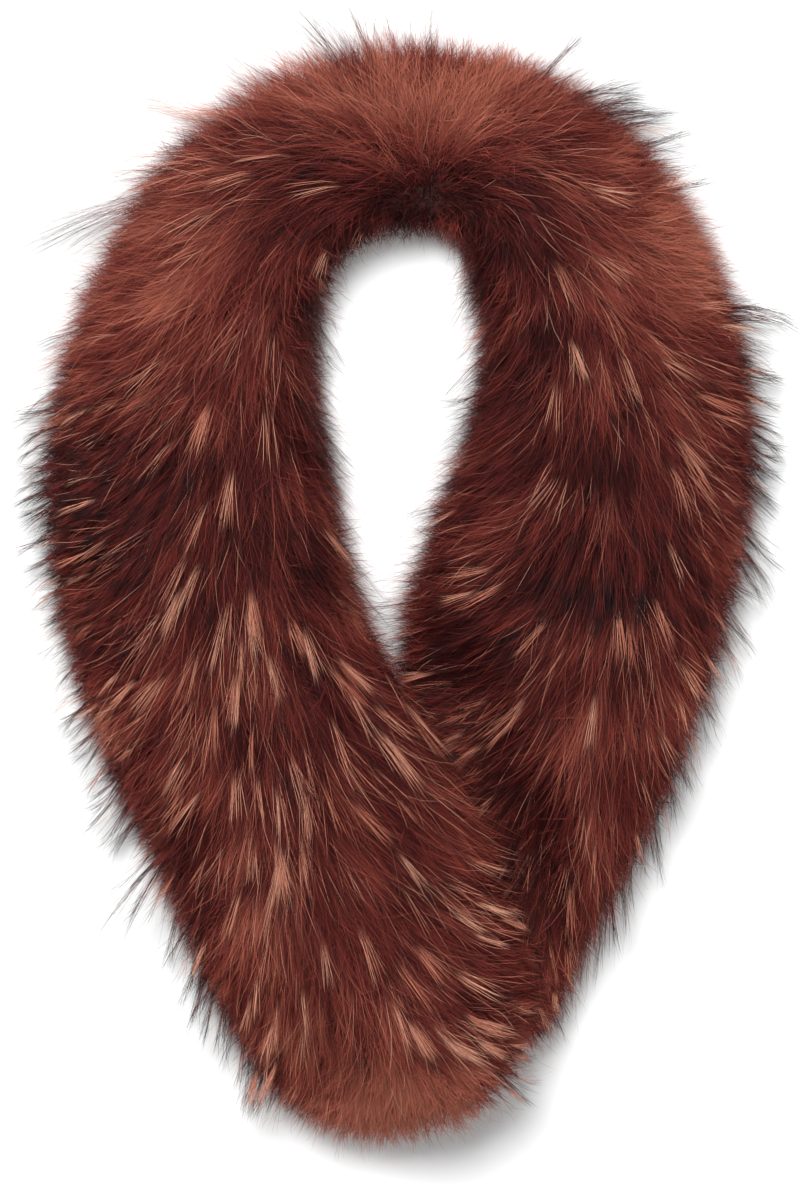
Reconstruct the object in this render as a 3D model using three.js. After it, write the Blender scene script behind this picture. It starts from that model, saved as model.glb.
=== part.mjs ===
// Fur collar wrap: a loop of two long-haired pelt strips, laid flat on a surface and seen from above.
// The strips meet at a pinched seam at the centre back, bend round the neck opening, and close at
// the front, where the left strip's rounded end lies over the right one's.
//
// Millimetres. +X is to the right as seen from above, +Y towards the back of the neck, +Z up.
// Each strip is a row of sections square to its spine. The spine is the line where the hair parts;
// the pile reaches from it inwards, to the neck, and outwards, to the shoulder.

import * as THREE from 'three';

const SEAM_X = 14.5; // plane of the centre back seam
const SEAM_Y = 198.5; // where the spine crosses it
const SEAM_GAP = 0.3; // between the two strips at the seam

const RING_PITCH = 5.6; // between sections along a strip
const END_RINGS = 11; // sections of a rounded end
const ARCH_STEPS = 20; // steps of a section's upper side, edge to edge
const ROLL_STEPS = 3; // steps of the roll from the widest line down to the underside
const FLAT_STEPS = 6; // steps across the flat underside

const BELLY = 11; // height of a section's widest line over its underside
const REST_SHARE = 0.82; // the flat underside's share of the reach
const ARCH_FULLNESS = 0.72; // 1 is an ellipse; below it the shoulders are fuller

const LOCK_PITCH = 25; // between tufts along an edge
const LOCK_REACH = 9; // a tuft's length past the valley beside it, at the edge
const LOCK_SWELL = 3.2; // a lock's height over the valley beside it, on the crown
const LOCK_SLANT = 0.011; // turns of the lock pattern per millimetre away from the spine

const PRESSED_PILE = 24; // height of the right strip's pile where the left one lies on it
const LAYER_GAP = 1.0; // between the two layers of pile at the front
const PRESS_MARGIN = 10; // the pressing begins this far outside the upper layer's edge
const PRESS_FADE = 30; // and fades out over this width
const LIFT_MARGIN = 3; // the upper layer keeps its full lift this far past the lower one's edge
const LIFT_FADE = 34; // and comes down to the surface over this width

// Spine place, reach of the pile towards the neck and the shoulder, and height of the crown.
const LEFT_ROWS = [
  { x: SEAM_X - SEAM_GAP / 2, y: SEAM_Y, inner: 20, outer: 81, crown: 39 },
  { x: -3, y: SEAM_Y, inner: 20, outer: 79, crown: 43 },
  { x: -27, y: 192, inner: 20, outer: 77, crown: 46 },
  { x: -54, y: 168, inner: 22, outer: 84, crown: 48 },
  { x: -67, y: 125, inner: 28, outer: 100, crown: 50 },
  { x: -71.5, y: 70, inner: 41, outer: 112, crown: 52 },
  { x: -69, y: 10, inner: 49, outer: 111, crown: 52 },
  { x: -59, y: -45, inner: 62, outer: 104, crown: 50 },
  { x: -43, y: -100, inner: 74, outer: 94, crown: 47 },
  { x: -26, y: -150, inner: 79, outer: 91, crown: 45 },
  { x: -9, y: -194, inner: 82, outer: 84, crown: 43 },
];

const RIGHT_ROWS = [
  { x: SEAM_X + SEAM_GAP / 2, y: SEAM_Y, inner: 20, outer: 81, crown: 39 },
  { x: 31, y: SEAM_Y, inner: 28, outer: 80, crown: 43 },
  { x: 55, y: 189, inner: 42, outer: 79, crown: 46 },
  { x: 79, y: 155, inner: 48, outer: 81, crown: 49 },
  { x: 95.5, y: 105, inner: 66, outer: 85, crown: 51 },
  { x: 102.5, y: 52, inner: 87, outer: 80, crown: 51 },
  { x: 100, y: 0, inner: 98, outer: 72, crown: 50 },
  { x: 91, y: -50, inner: 96, outer: 66, crown: 48 },
  { x: 75, y: -100, inner: 86, outer: 60, crown: 45 },
  { x: 56, y: -143, inner: 76, outer: 57, crown: 41 },
  { x: 35, y: -176, inner: 66, outer: 64, crown: 35 },
];

/** A value between 0 and 1 that eases from 0 at `from` to 1 at `to`. */
function ease(value, from, to) {
  const share = THREE.MathUtils.clamp((value - from) / (to - from), 0, 1);
  return share * share * (3 - 2 * share);
}

/** A leaning tooth, 0 to 1: it climbs over three quarters of a turn and drops over the rest. */
function tooth(turns) {
  const share = turns - Math.floor(turns);
  return share < 0.75 ? share / 0.75 : (1 - share) / 0.25;
}

/** How far a lock stands out, -0.3 to 0.7, at a distance along the spine and away from it. */
function lockRelief(along, away, phase) {
  const wander = 0.22 * Math.sin(along / 31 + phase) + 0.17 * Math.sin(along / 13.7 + 2 * phase);
  const main = tooth(along / LOCK_PITCH + wander - away * LOCK_SLANT + phase);
  const fine = tooth(along / (0.43 * LOCK_PITCH) - 2 * away * LOCK_SLANT + 2.6 * phase);
  return 0.7 * main + 0.3 * fine - 0.3;
}

/** One strip of pelt: its spine, its reach either side, and the sections along it. */
class PeltStrip {
  /**
   * @param {object[]} rows section table, from the seam to the centre of the rounded end
   * @param {number} outward side of the spine the shoulder is on: 1 right of its run, -1 left
   * @param {number} phase start of the lock pattern, in turns
   */
  constructor(rows, outward, phase) {
    this.outward = outward;
    this.phase = phase;
    this.spine = new THREE.CatmullRomCurve3(rows.map((row) => new THREE.Vector3(row.x, row.y, 0)));
    this.sizes = new THREE.CatmullRomCurve3(
      rows.map((row) => new THREE.Vector3(row.inner, row.outer, row.crown)),
    );
    this.length = this.spine.getLength();
    const last = rows[rows.length - 1];
    this.endReach = (last.inner + last.outer) / 2;
    this.stations = this.bodyStations().concat(this.endStations());
  }

  /** The section frame at a distance along the spine. */
  frameAt(along) {
    const t = this.spine.getUtoTmapping(Math.min(along / this.length, 1));
    const run = this.spine.getTangent(t);
    const size = this.sizes.getPoint(t);
    return {
      along,
      centre: this.spine.getPoint(t),
      run,
      side: new THREE.Vector3(run.y, -run.x, 0).multiplyScalar(this.outward),
      inner: size.x,
      outer: size.y,
      crown: size.z,
      fullness: 1,
      endShare: 0,
    };
  }

  /** Sections from the seam to the centre of the rounded end. */
  bodyStations() {
    const count = Math.round(this.length / RING_PITCH);
    return Array.from({ length: count + 1 }, (_, i) => this.frameAt((this.length * i) / count));
  }

  /** Sections of the rounded end: half circles seen from above, closer together at the tip. */
  endStations() {
    return Array.from({ length: END_RINGS }, (_, i) => {
      const angle = ((i + 1) / (END_RINGS + 0.6)) * (Math.PI / 2);
      const frame = this.frameAt(this.length);
      const ahead = this.endReach * Math.sin(angle);
      frame.centre.addScaledVector(frame.run, ahead);
      frame.along += ahead;
      frame.fullness = Math.cos(angle);
      frame.endShare = Math.sin(angle);
      return frame;
    });
  }

  /** How far inside the strip's edge a place lies, seen from above; negative outside. */
  depthInside(place) {
    const offset = new THREE.Vector3();
    const end = this.frameAt(this.length);
    offset.subVectors(place, end.centre);
    const ahead = offset.dot(end.run);
    if (ahead > 0) {
      return this.endReach - Math.hypot(ahead, offset.dot(end.side));
    }
    let near = end;
    let least = Infinity;
    for (const frame of this.stations) {
      if (frame.endShare > 0) continue;
      const distance = frame.centre.distanceTo(place);
      if (distance < least) [near, least] = [frame, distance];
    }
    const away = offset.subVectors(place, near.centre).dot(near.side);
    return away < 0 ? near.inner + away : near.outer - away;
  }
}

const LEFT = new PeltStrip(LEFT_ROWS, 1, 0.15);
const RIGHT = new PeltStrip(RIGHT_ROWS, -1, 0.6);

/** How much the crossed left front presses the pile under it, 0 to 1. */
function pressedShare(place) {
  const depth = place.y < SEAM_Y - 150 ? LEFT.depthInside(place) : -Infinity;
  return ease(depth, -PRESS_MARGIN - PRESS_FADE, -PRESS_MARGIN);
}

/** Height at which the left strip's underside lies: the surface, or the right strip's pile. */
function liftAt(place) {
  const depth = place.y < SEAM_Y - 120 ? RIGHT.depthInside(place) : -Infinity;
  return (PRESSED_PILE + LAYER_GAP) * ease(depth, -LIFT_MARGIN - LIFT_FADE, -LIFT_MARGIN);
}

/** Plain section, as distances away from the spine and up, once round from the outer edge. */
function sectionProfile({ inner, outer, crown, fullness, endShare }) {
  const points = [];
  const rise = BELLY * (1 - Math.sqrt(1 - ease(endShare, REST_SHARE, 1) ** 2 * 0.98));
  const reach = (share) => share * fullness * (share > 0 ? outer : inner);
  const top = BELLY + (crown - BELLY) * fullness ** 0.8;
  for (let i = 0; i <= ARCH_STEPS; i++) {
    const angle = (Math.PI * i) / ARCH_STEPS;
    const up = BELLY + (top - BELLY) * Math.sin(angle) ** ARCH_FULLNESS;
    points.push({ away: reach(Math.cos(angle)), up, onTop: true, edge: Math.abs(Math.cos(angle)) });
  }
  const roll = (angle) => REST_SHARE + (1 - REST_SHARE) * Math.cos(angle);
  const under = (angle) => rise + (BELLY - rise) * (1 - Math.sin(angle));
  for (let i = 1; i <= ROLL_STEPS; i++) {
    const angle = (Math.PI * i) / (2 * ROLL_STEPS);
    points.push({ away: reach(-roll(angle)), up: under(angle), onTop: false });
  }
  for (let i = 1; i < FLAT_STEPS; i++) {
    const share = REST_SHARE * ((2 * i) / FLAT_STEPS - 1);
    points.push({ away: reach(share), up: rise, onTop: false });
  }
  for (let i = ROLL_STEPS; i >= 1; i--) {
    const angle = (Math.PI * i) / (2 * ROLL_STEPS);
    points.push({ away: reach(roll(angle)), up: under(angle), onTop: false });
  }
  return points;
}

/** Locks of hair on a section's upper side: longer at the edges, flatter near the seam. */
function lockedPoint(strip, frame, point, calm) {
  if (!point.onTop) return point;
  const away = Math.abs(point.away);
  const phase = strip.phase + (point.away > 0 ? 0 : 0.37);
  const strength = calm * ease(frame.along, 0, 22) * frame.fullness ** 0.5;
  const relief = lockRelief(frame.along, away, phase) * strength;
  return {
    ...point,
    away: point.away + Math.sign(point.away) * relief * LOCK_REACH * ease(point.edge, 0.55, 0.95),
    up: point.up + relief * LOCK_SWELL * ease(1 - point.edge, 0.02, 0.3),
  };
}

/** Places of the left strip's section: it lies on the surface and over the right front. */
function leftSection(frame) {
  return sectionProfile(frame).map((plain) => {
    const point = lockedPoint(LEFT, frame, plain, 1);
    const place = frame.centre.clone().addScaledVector(frame.side, point.away);
    return place.setZ(point.up + liftAt(place));
  });
}

/** Places of the right strip's section: its pile is pressed down under the left front. */
function rightSection(frame) {
  return sectionProfile(frame).map((plain) => {
    const flat = frame.centre.clone().addScaledVector(frame.side, plain.away);
    const pressed = pressedShare(flat);
    const point = lockedPoint(RIGHT, frame, plain, 1 - pressed);
    const place = frame.centre.clone().addScaledVector(frame.side, point.away);
    const low = point.up > PRESSED_PILE ? PRESSED_PILE : point.up;
    return place.setZ(THREE.MathUtils.lerp(point.up, low, pressed));
  });
}

/** A closed skin over rings of equal length, with a flat face on the first and a tip on the last. */
function skinOver(rings, tip, flip) {
  const count = rings[0].length;
  const places = rings.flat();
  const faces = [];
  const face = (a, b, c) => faces.push(...(flip ? [a, c, b] : [a, b, c]));
  for (let r = 0; r + 1 < rings.length; r++) {
    for (let i = 0; i < count; i++) {
      const [a, b] = [r * count + i, r * count + ((i + 1) % count)];
      face(a, b, b + count);
      face(a, b + count, a + count);
    }
  }
  const start = places.push(meanPlace(rings[0])) - 1;
  const end = places.push(tip) - 1;
  const lastRing = (rings.length - 1) * count;
  for (let i = 0; i < count; i++) {
    const next = (i + 1) % count;
    face(start, next, i);
    face(end, lastRing + i, lastRing + next);
  }
  const geometry = new THREE.BufferGeometry().setFromPoints(places);
  geometry.setIndex(faces);
  geometry.computeVertexNormals();
  return geometry;
}

/** Mean of a ring's places. */
function meanPlace(ring) {
  return ring
    .reduce((sum, place) => sum.add(place), new THREE.Vector3())
    .divideScalar(ring.length);
}

/** A strip's solid from its sections, with its end closed a little past the last of them. */
function stripGeometry(strip, section, flip) {
  const rings = strip.stations.map(section);
  const last = rings[rings.length - 1];
  const beyond = strip.endReach * (1 - strip.stations[strip.stations.length - 1].endShare);
  const tip = meanPlace(last).addScaledVector(strip.frameAt(strip.length).run, beyond);
  return skinOver(rings, tip, flip);
}

/** A named solid of dyed fur. */
function peltMesh(name, geometry, colour) {
  const material = new THREE.MeshStandardMaterial({ color: colour, roughness: 0.85, metalness: 0 });
  material.name = 'dyed_fur';
  const mesh = new THREE.Mesh(geometry, material);
  mesh.name = name;
  return mesh;
}

/** The collar, centred over the origin on the surface it lies on. */
function furCollar() {
  const collar = new THREE.Group();
  collar.name = 'fur_collar_wrap';
  collar.add(peltMesh('pelt_left', stripGeometry(LEFT, leftSection, true), 0x8c4830));
  collar.add(peltMesh('pelt_right', stripGeometry(RIGHT, rightSection, false), 0x7a3c2a));
  const centre = new THREE.Box3().setFromObject(collar).getCenter(new THREE.Vector3());
  for (const mesh of collar.children) mesh.geometry.translate(-centre.x, -centre.y, 0);
  return collar;
}

export default furCollar();
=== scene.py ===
"""A dyed fur collar wrap laid flat: two pelt strips with locks of long, black-tipped hair."""

import logging
import math
from dataclasses import dataclass, replace
from enum import Enum, IntEnum
from functools import cached_property

import bpy
import numpy as np
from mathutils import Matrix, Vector


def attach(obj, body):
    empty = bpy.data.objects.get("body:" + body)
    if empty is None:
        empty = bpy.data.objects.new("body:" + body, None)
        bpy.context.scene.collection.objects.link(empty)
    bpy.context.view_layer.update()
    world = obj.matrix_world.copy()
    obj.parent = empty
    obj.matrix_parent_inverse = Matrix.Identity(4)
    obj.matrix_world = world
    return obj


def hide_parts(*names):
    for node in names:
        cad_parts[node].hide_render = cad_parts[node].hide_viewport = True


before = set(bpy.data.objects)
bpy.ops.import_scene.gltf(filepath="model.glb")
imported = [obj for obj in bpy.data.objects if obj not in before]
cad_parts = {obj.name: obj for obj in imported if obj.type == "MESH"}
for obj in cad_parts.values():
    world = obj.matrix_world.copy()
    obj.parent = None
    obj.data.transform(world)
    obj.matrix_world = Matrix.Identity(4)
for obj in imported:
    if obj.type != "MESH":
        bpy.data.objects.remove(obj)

LOG = logging.getLogger("fur_collar")
MM = 0.001
ROOT = "root"
BAKE_MAP = "OFBake"

# The section tables are in millimetres, in the pattern's own frame. The scene's origin, the
# middle of the collar's footprint, lies in it at FOOTPRINT_CENTRE.
FOOTPRINT_CENTRE = np.array([-1.382, 1.611])
SEAM = np.array([14.5, 198.5])
SEAM_GAP = 0.3

# A section of the pile: its height at the edge, how steeply it falls outside that and how low,
# and the exponent of the arch inside it.
BELLY = 11.0
EDGE_FALL = 28.0
LEAST_PILE = 3.5
ARCH_POWER = 0.36

# The crossing: the right strip's pressed pile and the gap over it. Each change is full from a
# margin outside the other strip's edge, fades out over a distance past that, and begins at a
# distance in front of the seam.
PRESSED_PILE = 24.0
LAYER_GAP = 1.0
PRESS_MARGIN, PRESS_FADE, PRESS_FROM = 10.0, 30.0, 150.0
LIFT_MARGIN, LIFT_FADE, LIFT_FROM = 3.0, 34.0, 120.0
FAR_OUTSIDE = -1e3

# The left front's hair keeps clear of the right strip's pile, which springs up beside it.
PILE_SPRING = 7.0
CLEAR_OF_RIGHT = 6.0

# The photograph's size and middle in pixels, and the millimetres that a pixel of it spans.
PHOTO_PIXELS = (802, 1200)
PHOTO_MIDDLE = (401.0, 600.0)
PIXEL = 0.5

MOTTLE_STRENGTH = 0.7
TINY = 1e-6


def ease(value: np.ndarray, low: float, high: float) -> np.ndarray:
    """Eases from 0 at low to 1 at high.

    Args:
        value: Numbers to ease.
        low: Where the result is 0.
        high: Where the result is 1; it may be below low.

    Returns:
        The eased numbers.
    """
    share = np.clip((np.asarray(value, float) - low) / (high - low), 0, 1)
    return share * share * (3 - 2 * share)


def mottle(spots: np.ndarray, wave: float, seed: int, waves: int = 24) -> np.ndarray:
    """Smooth seeded noise over the collar, seen from above.

    Args:
        spots: Places, millimetres, one to a row.
        wave: Its shortest wavelength; the longest is twice that.
        seed: Seed of the draws.
        waves: How many waves are added up.

    Returns:
        Numbers about 0, most of them from -1 to 1.
    """
    draw = np.random.default_rng(seed)
    turn, phase = draw.uniform(0, 2 * math.pi, (2, waves))
    number = 2 * math.pi / draw.uniform(wave, 2 * wave, waves)
    ways = np.stack([np.cos(turn), np.sin(turn)]) * number
    return np.cos(spots @ ways + phase).sum(1) / math.sqrt(waves / 2) * MOTTLE_STRENGTH


def taken_in(reach: np.ndarray, inset: float) -> np.ndarray:
    """A reach less an inset, which takes at most half of it."""
    return reach - np.minimum(inset, reach / 2)


@dataclass(frozen=True)
class Section:
    """A section of a strip, square to its parting, in millimetres and degrees.

    x and y place the parting, inner and outer are the reach of the pile to the neck and to the
    shoulder, crown is the height there, turn_in and turn_out are how far the hair at either edge
    turns from the run of the strip, and hair is its length.
    """

    x: float
    y: float
    inner: float
    outer: float
    crown: float
    turn_in: float
    turn_out: float
    hair: float


class Size(IntEnum):
    """The columns of a strip's sampled sizes, which are a section's own after its place."""

    INNER = 0
    OUTER = 1
    CROWN = 2
    TURN_IN = 3
    TURN_OUT = 4
    HAIR = 5


LEFT_SECTIONS = (
    Section(SEAM[0] - SEAM_GAP / 2, SEAM[1], 20, 81, 39, 84, 92, 34),
    Section(-3, SEAM[1], 20, 79, 43, 76, 84, 36),
    Section(-27, 192, 20, 77, 46, 66, 76, 38),
    Section(-54, 168, 22, 84, 48, 58, 70, 40),
    Section(-67, 125, 28, 100, 50, 48, 70, 42),
    Section(-71.5, 70, 41, 112, 52, 40, 72, 44),
    Section(-69, 10, 49, 111, 52, 36, 73, 45),
    Section(-59, -45, 62, 104, 50, 29, 66, 46),
    Section(-43, -100, 74, 94, 47, 28, 56, 47),
    Section(-26, -150, 79, 91, 45, 42, 46, 46),
    Section(-9, -194, 82, 84, 43, 54, 40, 44),
)
RIGHT_SECTIONS = (
    Section(SEAM[0] + SEAM_GAP / 2, SEAM[1], 20, 81, 39, 84, 92, 34),
    Section(31, SEAM[1], 28, 80, 43, 76, 84, 36),
    Section(55, 189, 42, 79, 46, 68, 76, 38),
    Section(79, 155, 48, 81, 49, 64, 74, 40),
    Section(95.5, 105, 66, 85, 51, 64, 70, 43),
    Section(102.5, 52, 87, 80, 51, 66, 58, 45),
    Section(100, 0, 98, 72, 50, 64, 50, 46),
    Section(91, -50, 96, 66, 48, 56, 44, 46),
    Section(75, -100, 86, 60, 45, 46, 38, 45),
    Section(56, -143, 76, 57, 41, 34, 44, 47),
    Section(35, -176, 66, 64, 35, 40, 54, 48),
)


class Shade(Enum):
    """What a patch of the coat has more of than the rest."""

    DARK = "dark"
    LIGHT = "light"
    PALE = "pale"
    BLACK = "black"
    SOFT = "soft"
    LONG = "long"


@dataclass(frozen=True)
class Patch:
    """A soft-edged oval of the coat, placed in photograph pixels and turned in degrees."""

    name: str
    x: float
    y: float
    wide: float
    high: float
    much: float = 1.0
    turn: float = 0.0

    def share(self, spots: np.ndarray) -> np.ndarray:
        """How much of the patch lies at each place.

        Args:
            spots: Places in the pattern's frame, millimetres, one to a row.

        Returns:
            Numbers from 0 to much.
        """
        x = (spots[:, 0] / PIXEL + PHOTO_MIDDLE[0]) - self.x
        y = (PHOTO_MIDDLE[1] - spots[:, 1] / PIXEL) - self.y
        angle = math.radians(self.turn)
        across = x * math.cos(angle) + y * math.sin(angle)
        down = -x * math.sin(angle) + y * math.cos(angle)
        return self.much * np.exp(-((across / self.wide) ** 2) - (down / self.high) ** 2)


PATCHES = {
    Shade.LIGHT: (
        Patch("nape", 430, 88, 200, 50, 1.12),
        Patch("left_shoulder", 150, 280, 80, 100, 0.8),
        Patch("right_shoulder", 680, 240, 75, 110, 1.0),
        Patch("tail", 405, 1124, 120, 58, 1.9),
        Patch("tail_left", 270, 1045, 50, 50, 0.6),
        Patch("tail_mid", 365, 1060, 100, 50, 0.9),
        Patch("left_rim", 130, 425, 80, 55, 0.35),
        Patch("left_arm", 140, 700, 45, 60, 0.5),
        Patch("left_low", 260, 955, 80, 70, 0.5),
        Patch("right_low", 600, 760, 60, 60, 0.35),
        Patch("right_rim", 715, 410, 35, 90, 0.35),
    ),
    Shade.SOFT: (
        Patch("nape", 430, 90, 190, 70, 1.0),
        Patch("pinch", 430, 165, 75, 60, 1.2),
        Patch("left_shoulder", 150, 280, 90, 100, 0.8),
        Patch("right_shoulder", 690, 240, 80, 100, 0.7),
        Patch("tail", 390, 1120, 120, 45, 0.6),
    ),
    Shade.DARK: (
        Patch("pinch", 405, 205, 100, 30, 1.0),
        Patch("left_rim", 150, 520, 50, 50, 0.3),
        Patch("left_inner", 310, 500, 40, 120, 0.5),
        Patch("right_inner", 490, 420, 50, 150, 0.6),
        Patch("right_core", 570, 470, 60, 110, 0.5),
        Patch("right_mid", 603, 590, 80, 40, 1.5),
        Patch("cross", 450, 660, 60, 60, 1.2),
        Patch("under_cross", 520, 830, 35, 100, 0.8),
        Patch("left_mid", 240, 590, 70, 70, 0.6),
        Patch("left_heart", 330, 740, 60, 90, 0.5),
        Patch("left_arm", 170, 640, 70, 50, 0.5),
        Patch("left_nape", 300, 185, 70, 28, 0.6),
        # Patches named cleft are painted shade: a darker tone where the coat parts.
        Patch("nape_left_cleft", 350, 132, 42, 26, 0.55),
        Patch("nape_right_cleft", 480, 152, 50, 26, 0.45),
        Patch("left_bend_cleft", 285, 240, 50, 14, 1.1, -10),
        Patch("left_bend", 256, 288, 26, 40, 0.7, 20),
        Patch("left_inner_cleft", 298, 345, 20, 22, 1.1),
        Patch("left_inner_low_cleft", 303, 465, 14, 40, 0.9),
        Patch("left_rim_cleft", 120, 478, 60, 16, 0.8, -8),
        Patch("right_bend_cleft", 588, 368, 18, 55, 0.8),
        Patch("right_top_cleft", 525, 245, 40, 18, 0.7, 35),
        Patch("tail_cleft", 385, 985, 45, 28, 0.5),
        Patch("tail_left_cleft", 312, 1030, 14, 40, 0.8),
        Patch("tail_mid_cleft", 372, 1045, 20, 26, 1.0),
        Patch("tail_low_cleft", 425, 1085, 36, 9, 1.0, 25),
    ),
    Shade.BLACK: (
        Patch("left_rim", 105, 505, 75, 100, 1.0),
        Patch("left_arm", 92, 740, 30, 110, 0.4, -20),
        Patch("left_low_rim", 62, 610, 26, 60, 0.4, -8),
        Patch("right_low_rim", 712, 715, 28, 110, 0.3, 22),
        Patch("hem", 205, 1006, 20, 100, 1.2, -29),
        Patch("right_rim", 757, 430, 33, 170, 0.6),
        Patch("right_hem", 637, 900, 30, 140, 0.6, 25),
        Patch("right_mid", 603, 590, 80, 40, 0.8),
        Patch("nape_tip", 340, 50, 110, 22, 0.3),
        Patch("right_nape", 645, 125, 120, 26, 1.0, 37),
        Patch("left_bend", 285, 240, 50, 14, 0.6, -10),
        Patch("left_inner", 300, 345, 20, 22, 0.8),
    ),
    Shade.PALE: (
        Patch("left_nape", 240, 175, 90, 45, 0.5),
        Patch("left_tuft", 200, 670, 100, 100, 0.42),
        Patch("left_mid", 300, 700, 70, 80, 0.4),
        Patch("left_low", 285, 830, 50, 100, 0.4),
        Patch("cross", 440, 720, 45, 90, 0.6),
        Patch("tail", 480, 920, 60, 60, 0.6),
        Patch("right", 455, 590, 70, 80, 0.12),
        Patch("right_mid", 640, 660, 55, 50, 0.3),
        Patch("right_top", 595, 285, 40, 40, 0.4),
        Patch("right_rim", 705, 440, 40, 110, 0.35),
        Patch("tail_sweep", 460, 1035, 70, 30, 0.6),
        Patch("left_rim", 120, 510, 100, 130, 0.25),
        Patch("left_hem_tuft", 265, 1070, 30, 25, 0.8),
        Patch("right_hem_tuft", 522, 1075, 20, 20, 0.8),
    ),
    Shade.LONG: (
        Patch("left_hem", 268, 1080, 18, 18, 0.5),
        Patch("right_hem", 522, 1075, 18, 18, 1.2),
        Patch("left_rim", 125, 218, 15, 15),
        Patch("left_arm", 125, 805, 15, 15),
        Patch("left_low", 160, 868, 15, 15),
        Patch("right_rim", 745, 315, 15, 15),
        Patch("right_arm", 752, 570, 16, 16),
        Patch("right_low", 620, 905, 15, 15),
    ),
}


class Strip:
    """The form of one pelt strip in the pattern's frame: parting, reach and height."""

    SAMPLES = 120
    COARSE = 20

    def __init__(self, sections: tuple[Section, ...], outward: int) -> None:
        """Samples the parting and the sizes along it.

        Args:
            sections: The strip's table, from the seam to the centre of its rounded end.
            outward: 1 where the shoulder is on the right of the strip's run, else -1.
        """
        self.outward = outward
        spots = np.array([(row.x, row.y) for row in sections], float)
        sizes = np.array([[getattr(row, column.name.lower()) for column in Size]
                          for row in sections], float)
        self.spots, self.sizes = self._curve(spots), self._curve(sizes)
        step = np.diff(self.spots, axis=0)
        self.along = np.concatenate([[0], np.cumsum(np.hypot(*step.T))])
        run = np.gradient(self.spots, axis=0)
        self.run = run / np.linalg.norm(run, axis=1, keepdims=True)
        # The strip leaves the seam square to it.
        self.run[0] = (-outward, 0)
        self.length = float(self.along[-1])
        self.end_reach = (sections[-1].inner + sections[-1].outer) / 2

    def _curve(self, rows: np.ndarray) -> np.ndarray:
        """Samples the centripetal curve through a table's rows.

        Args:
            rows: Points of any dimension, one to a row.

        Returns:
            SAMPLES points to a span, and the last row.
        """
        ends = [2 * rows[0] - rows[1], *rows, 2 * rows[-1] - rows[-2]]
        share = np.linspace(0, 1, self.SAMPLES, endpoint=False)[:, None]
        out = []
        for before, start, stop, after in zip(ends, ends[1:], ends[2:], ends[3:]):
            gaps = [max(np.linalg.norm(b - a), TINY) ** 0.5
                    for a, b in ((before, start), (start, stop), (stop, after))]
            lean_in = ((start - before) / gaps[0] - (stop - before) / (gaps[0] + gaps[1])
                       + (stop - start) / gaps[1]) * gaps[1]
            lean_out = ((stop - start) / gaps[1] - (after - start) / (gaps[1] + gaps[2])
                        + (after - stop) / gaps[2]) * gaps[1]
            out.append(start + lean_in * share
                       + (3 * (stop - start) - 2 * lean_in - lean_out) * share ** 2
                       + (2 * (start - stop) + lean_in + lean_out) * share ** 3)
        return np.vstack([*out, rows[-1:]])

    def _at(self, table: np.ndarray, along: np.ndarray) -> np.ndarray:
        """Reads a sampled table at distances along the parting."""
        return np.stack([np.interp(along, self.along, column) for column in table.T], -1)

    def size(self, along: np.ndarray) -> np.ndarray:
        """The sizes at a distance along, by the columns of Size."""
        return self._at(self.sizes, along)

    def place(self, along: np.ndarray, away: np.ndarray) -> np.ndarray:
        """Turns strip coordinates into places seen from above.

        Args:
            along: Distances along the parting; past its end they run straight on.
            away: Distances from it, positive to the shoulder.

        Returns:
            Places, millimetres, one to a row.
        """
        run = self._at(self.run, along)
        run /= np.linalg.norm(run, axis=-1, keepdims=True)
        side = np.stack([run[..., 1], -run[..., 0]], -1) * self.outward
        past = np.maximum(along - self.length, 0) + np.minimum(along, 0)
        return self._at(self.spots, along) + run * past[..., None] + side * away[..., None]

    def _nearest(self, spots: np.ndarray) -> tuple[np.ndarray, np.ndarray, np.ndarray]:
        """Finds the coarse sample nearest to each place.

        Args:
            spots: Places in the pattern's frame, one to a row.

        Returns:
            The samples' numbers, and how far ahead of them and away to the shoulder each lies.
        """
        gaps = spots[:, None] - self.spots[None, ::self.COARSE]
        near = np.argmin((gaps ** 2).sum(2), 1)
        gap = np.take_along_axis(gaps, near[:, None, None], 1)[:, 0]
        run = self.run[::self.COARSE][near]
        side = np.stack([run[:, 1], -run[:, 0]], 1) * self.outward
        return near * self.COARSE, (gap * run).sum(1), (gap * side).sum(1)

    def locate(self, spots: np.ndarray) -> tuple[np.ndarray, np.ndarray]:
        """Turns places seen from above into strip coordinates, by the nearest sample.

        Args:
            spots: Places in the pattern's frame, one to a row.

        Returns:
            Distances along the parting and away from it.
        """
        near, ahead, away = self._nearest(spots)
        return self.along[near] + ahead, away

    def edge_share(self, along: np.ndarray, away: np.ndarray, inset: float = 0) -> np.ndarray:
        """How far from the parting a place lies, 1 at the edge of the pile.

        Args:
            along: Distances along the parting.
            away: Distances from it.
            inset: Taken off the reach, at most half of it.

        Returns:
            Shares of the reach, also past the rounded end.
        """
        size = self.size(along)
        reach = taken_in(np.where(away > 0, size[..., Size.OUTER], size[..., Size.INNER]), inset)
        past = np.maximum(along - self.length, 0) / (self.end_reach - inset)
        return np.hypot(away / reach, past)

    def height(self, along: np.ndarray, away: np.ndarray) -> np.ndarray:
        """Height of the smooth pile over its underside; past the edge it sinks.

        Args:
            along: Distances along the parting.
            away: Distances from it.

        Returns:
            Heights in millimetres.
        """
        share = self.edge_share(along, away)
        crown = self.size(along)[..., Size.CROWN]
        arch = BELLY + (crown - BELLY) * np.clip(1 - share ** 2, 0, 1) ** ARCH_POWER
        return np.where(share < 1, arch,
                        np.maximum(BELLY - EDGE_FALL * (share - 1), LEAST_PILE))

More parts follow.
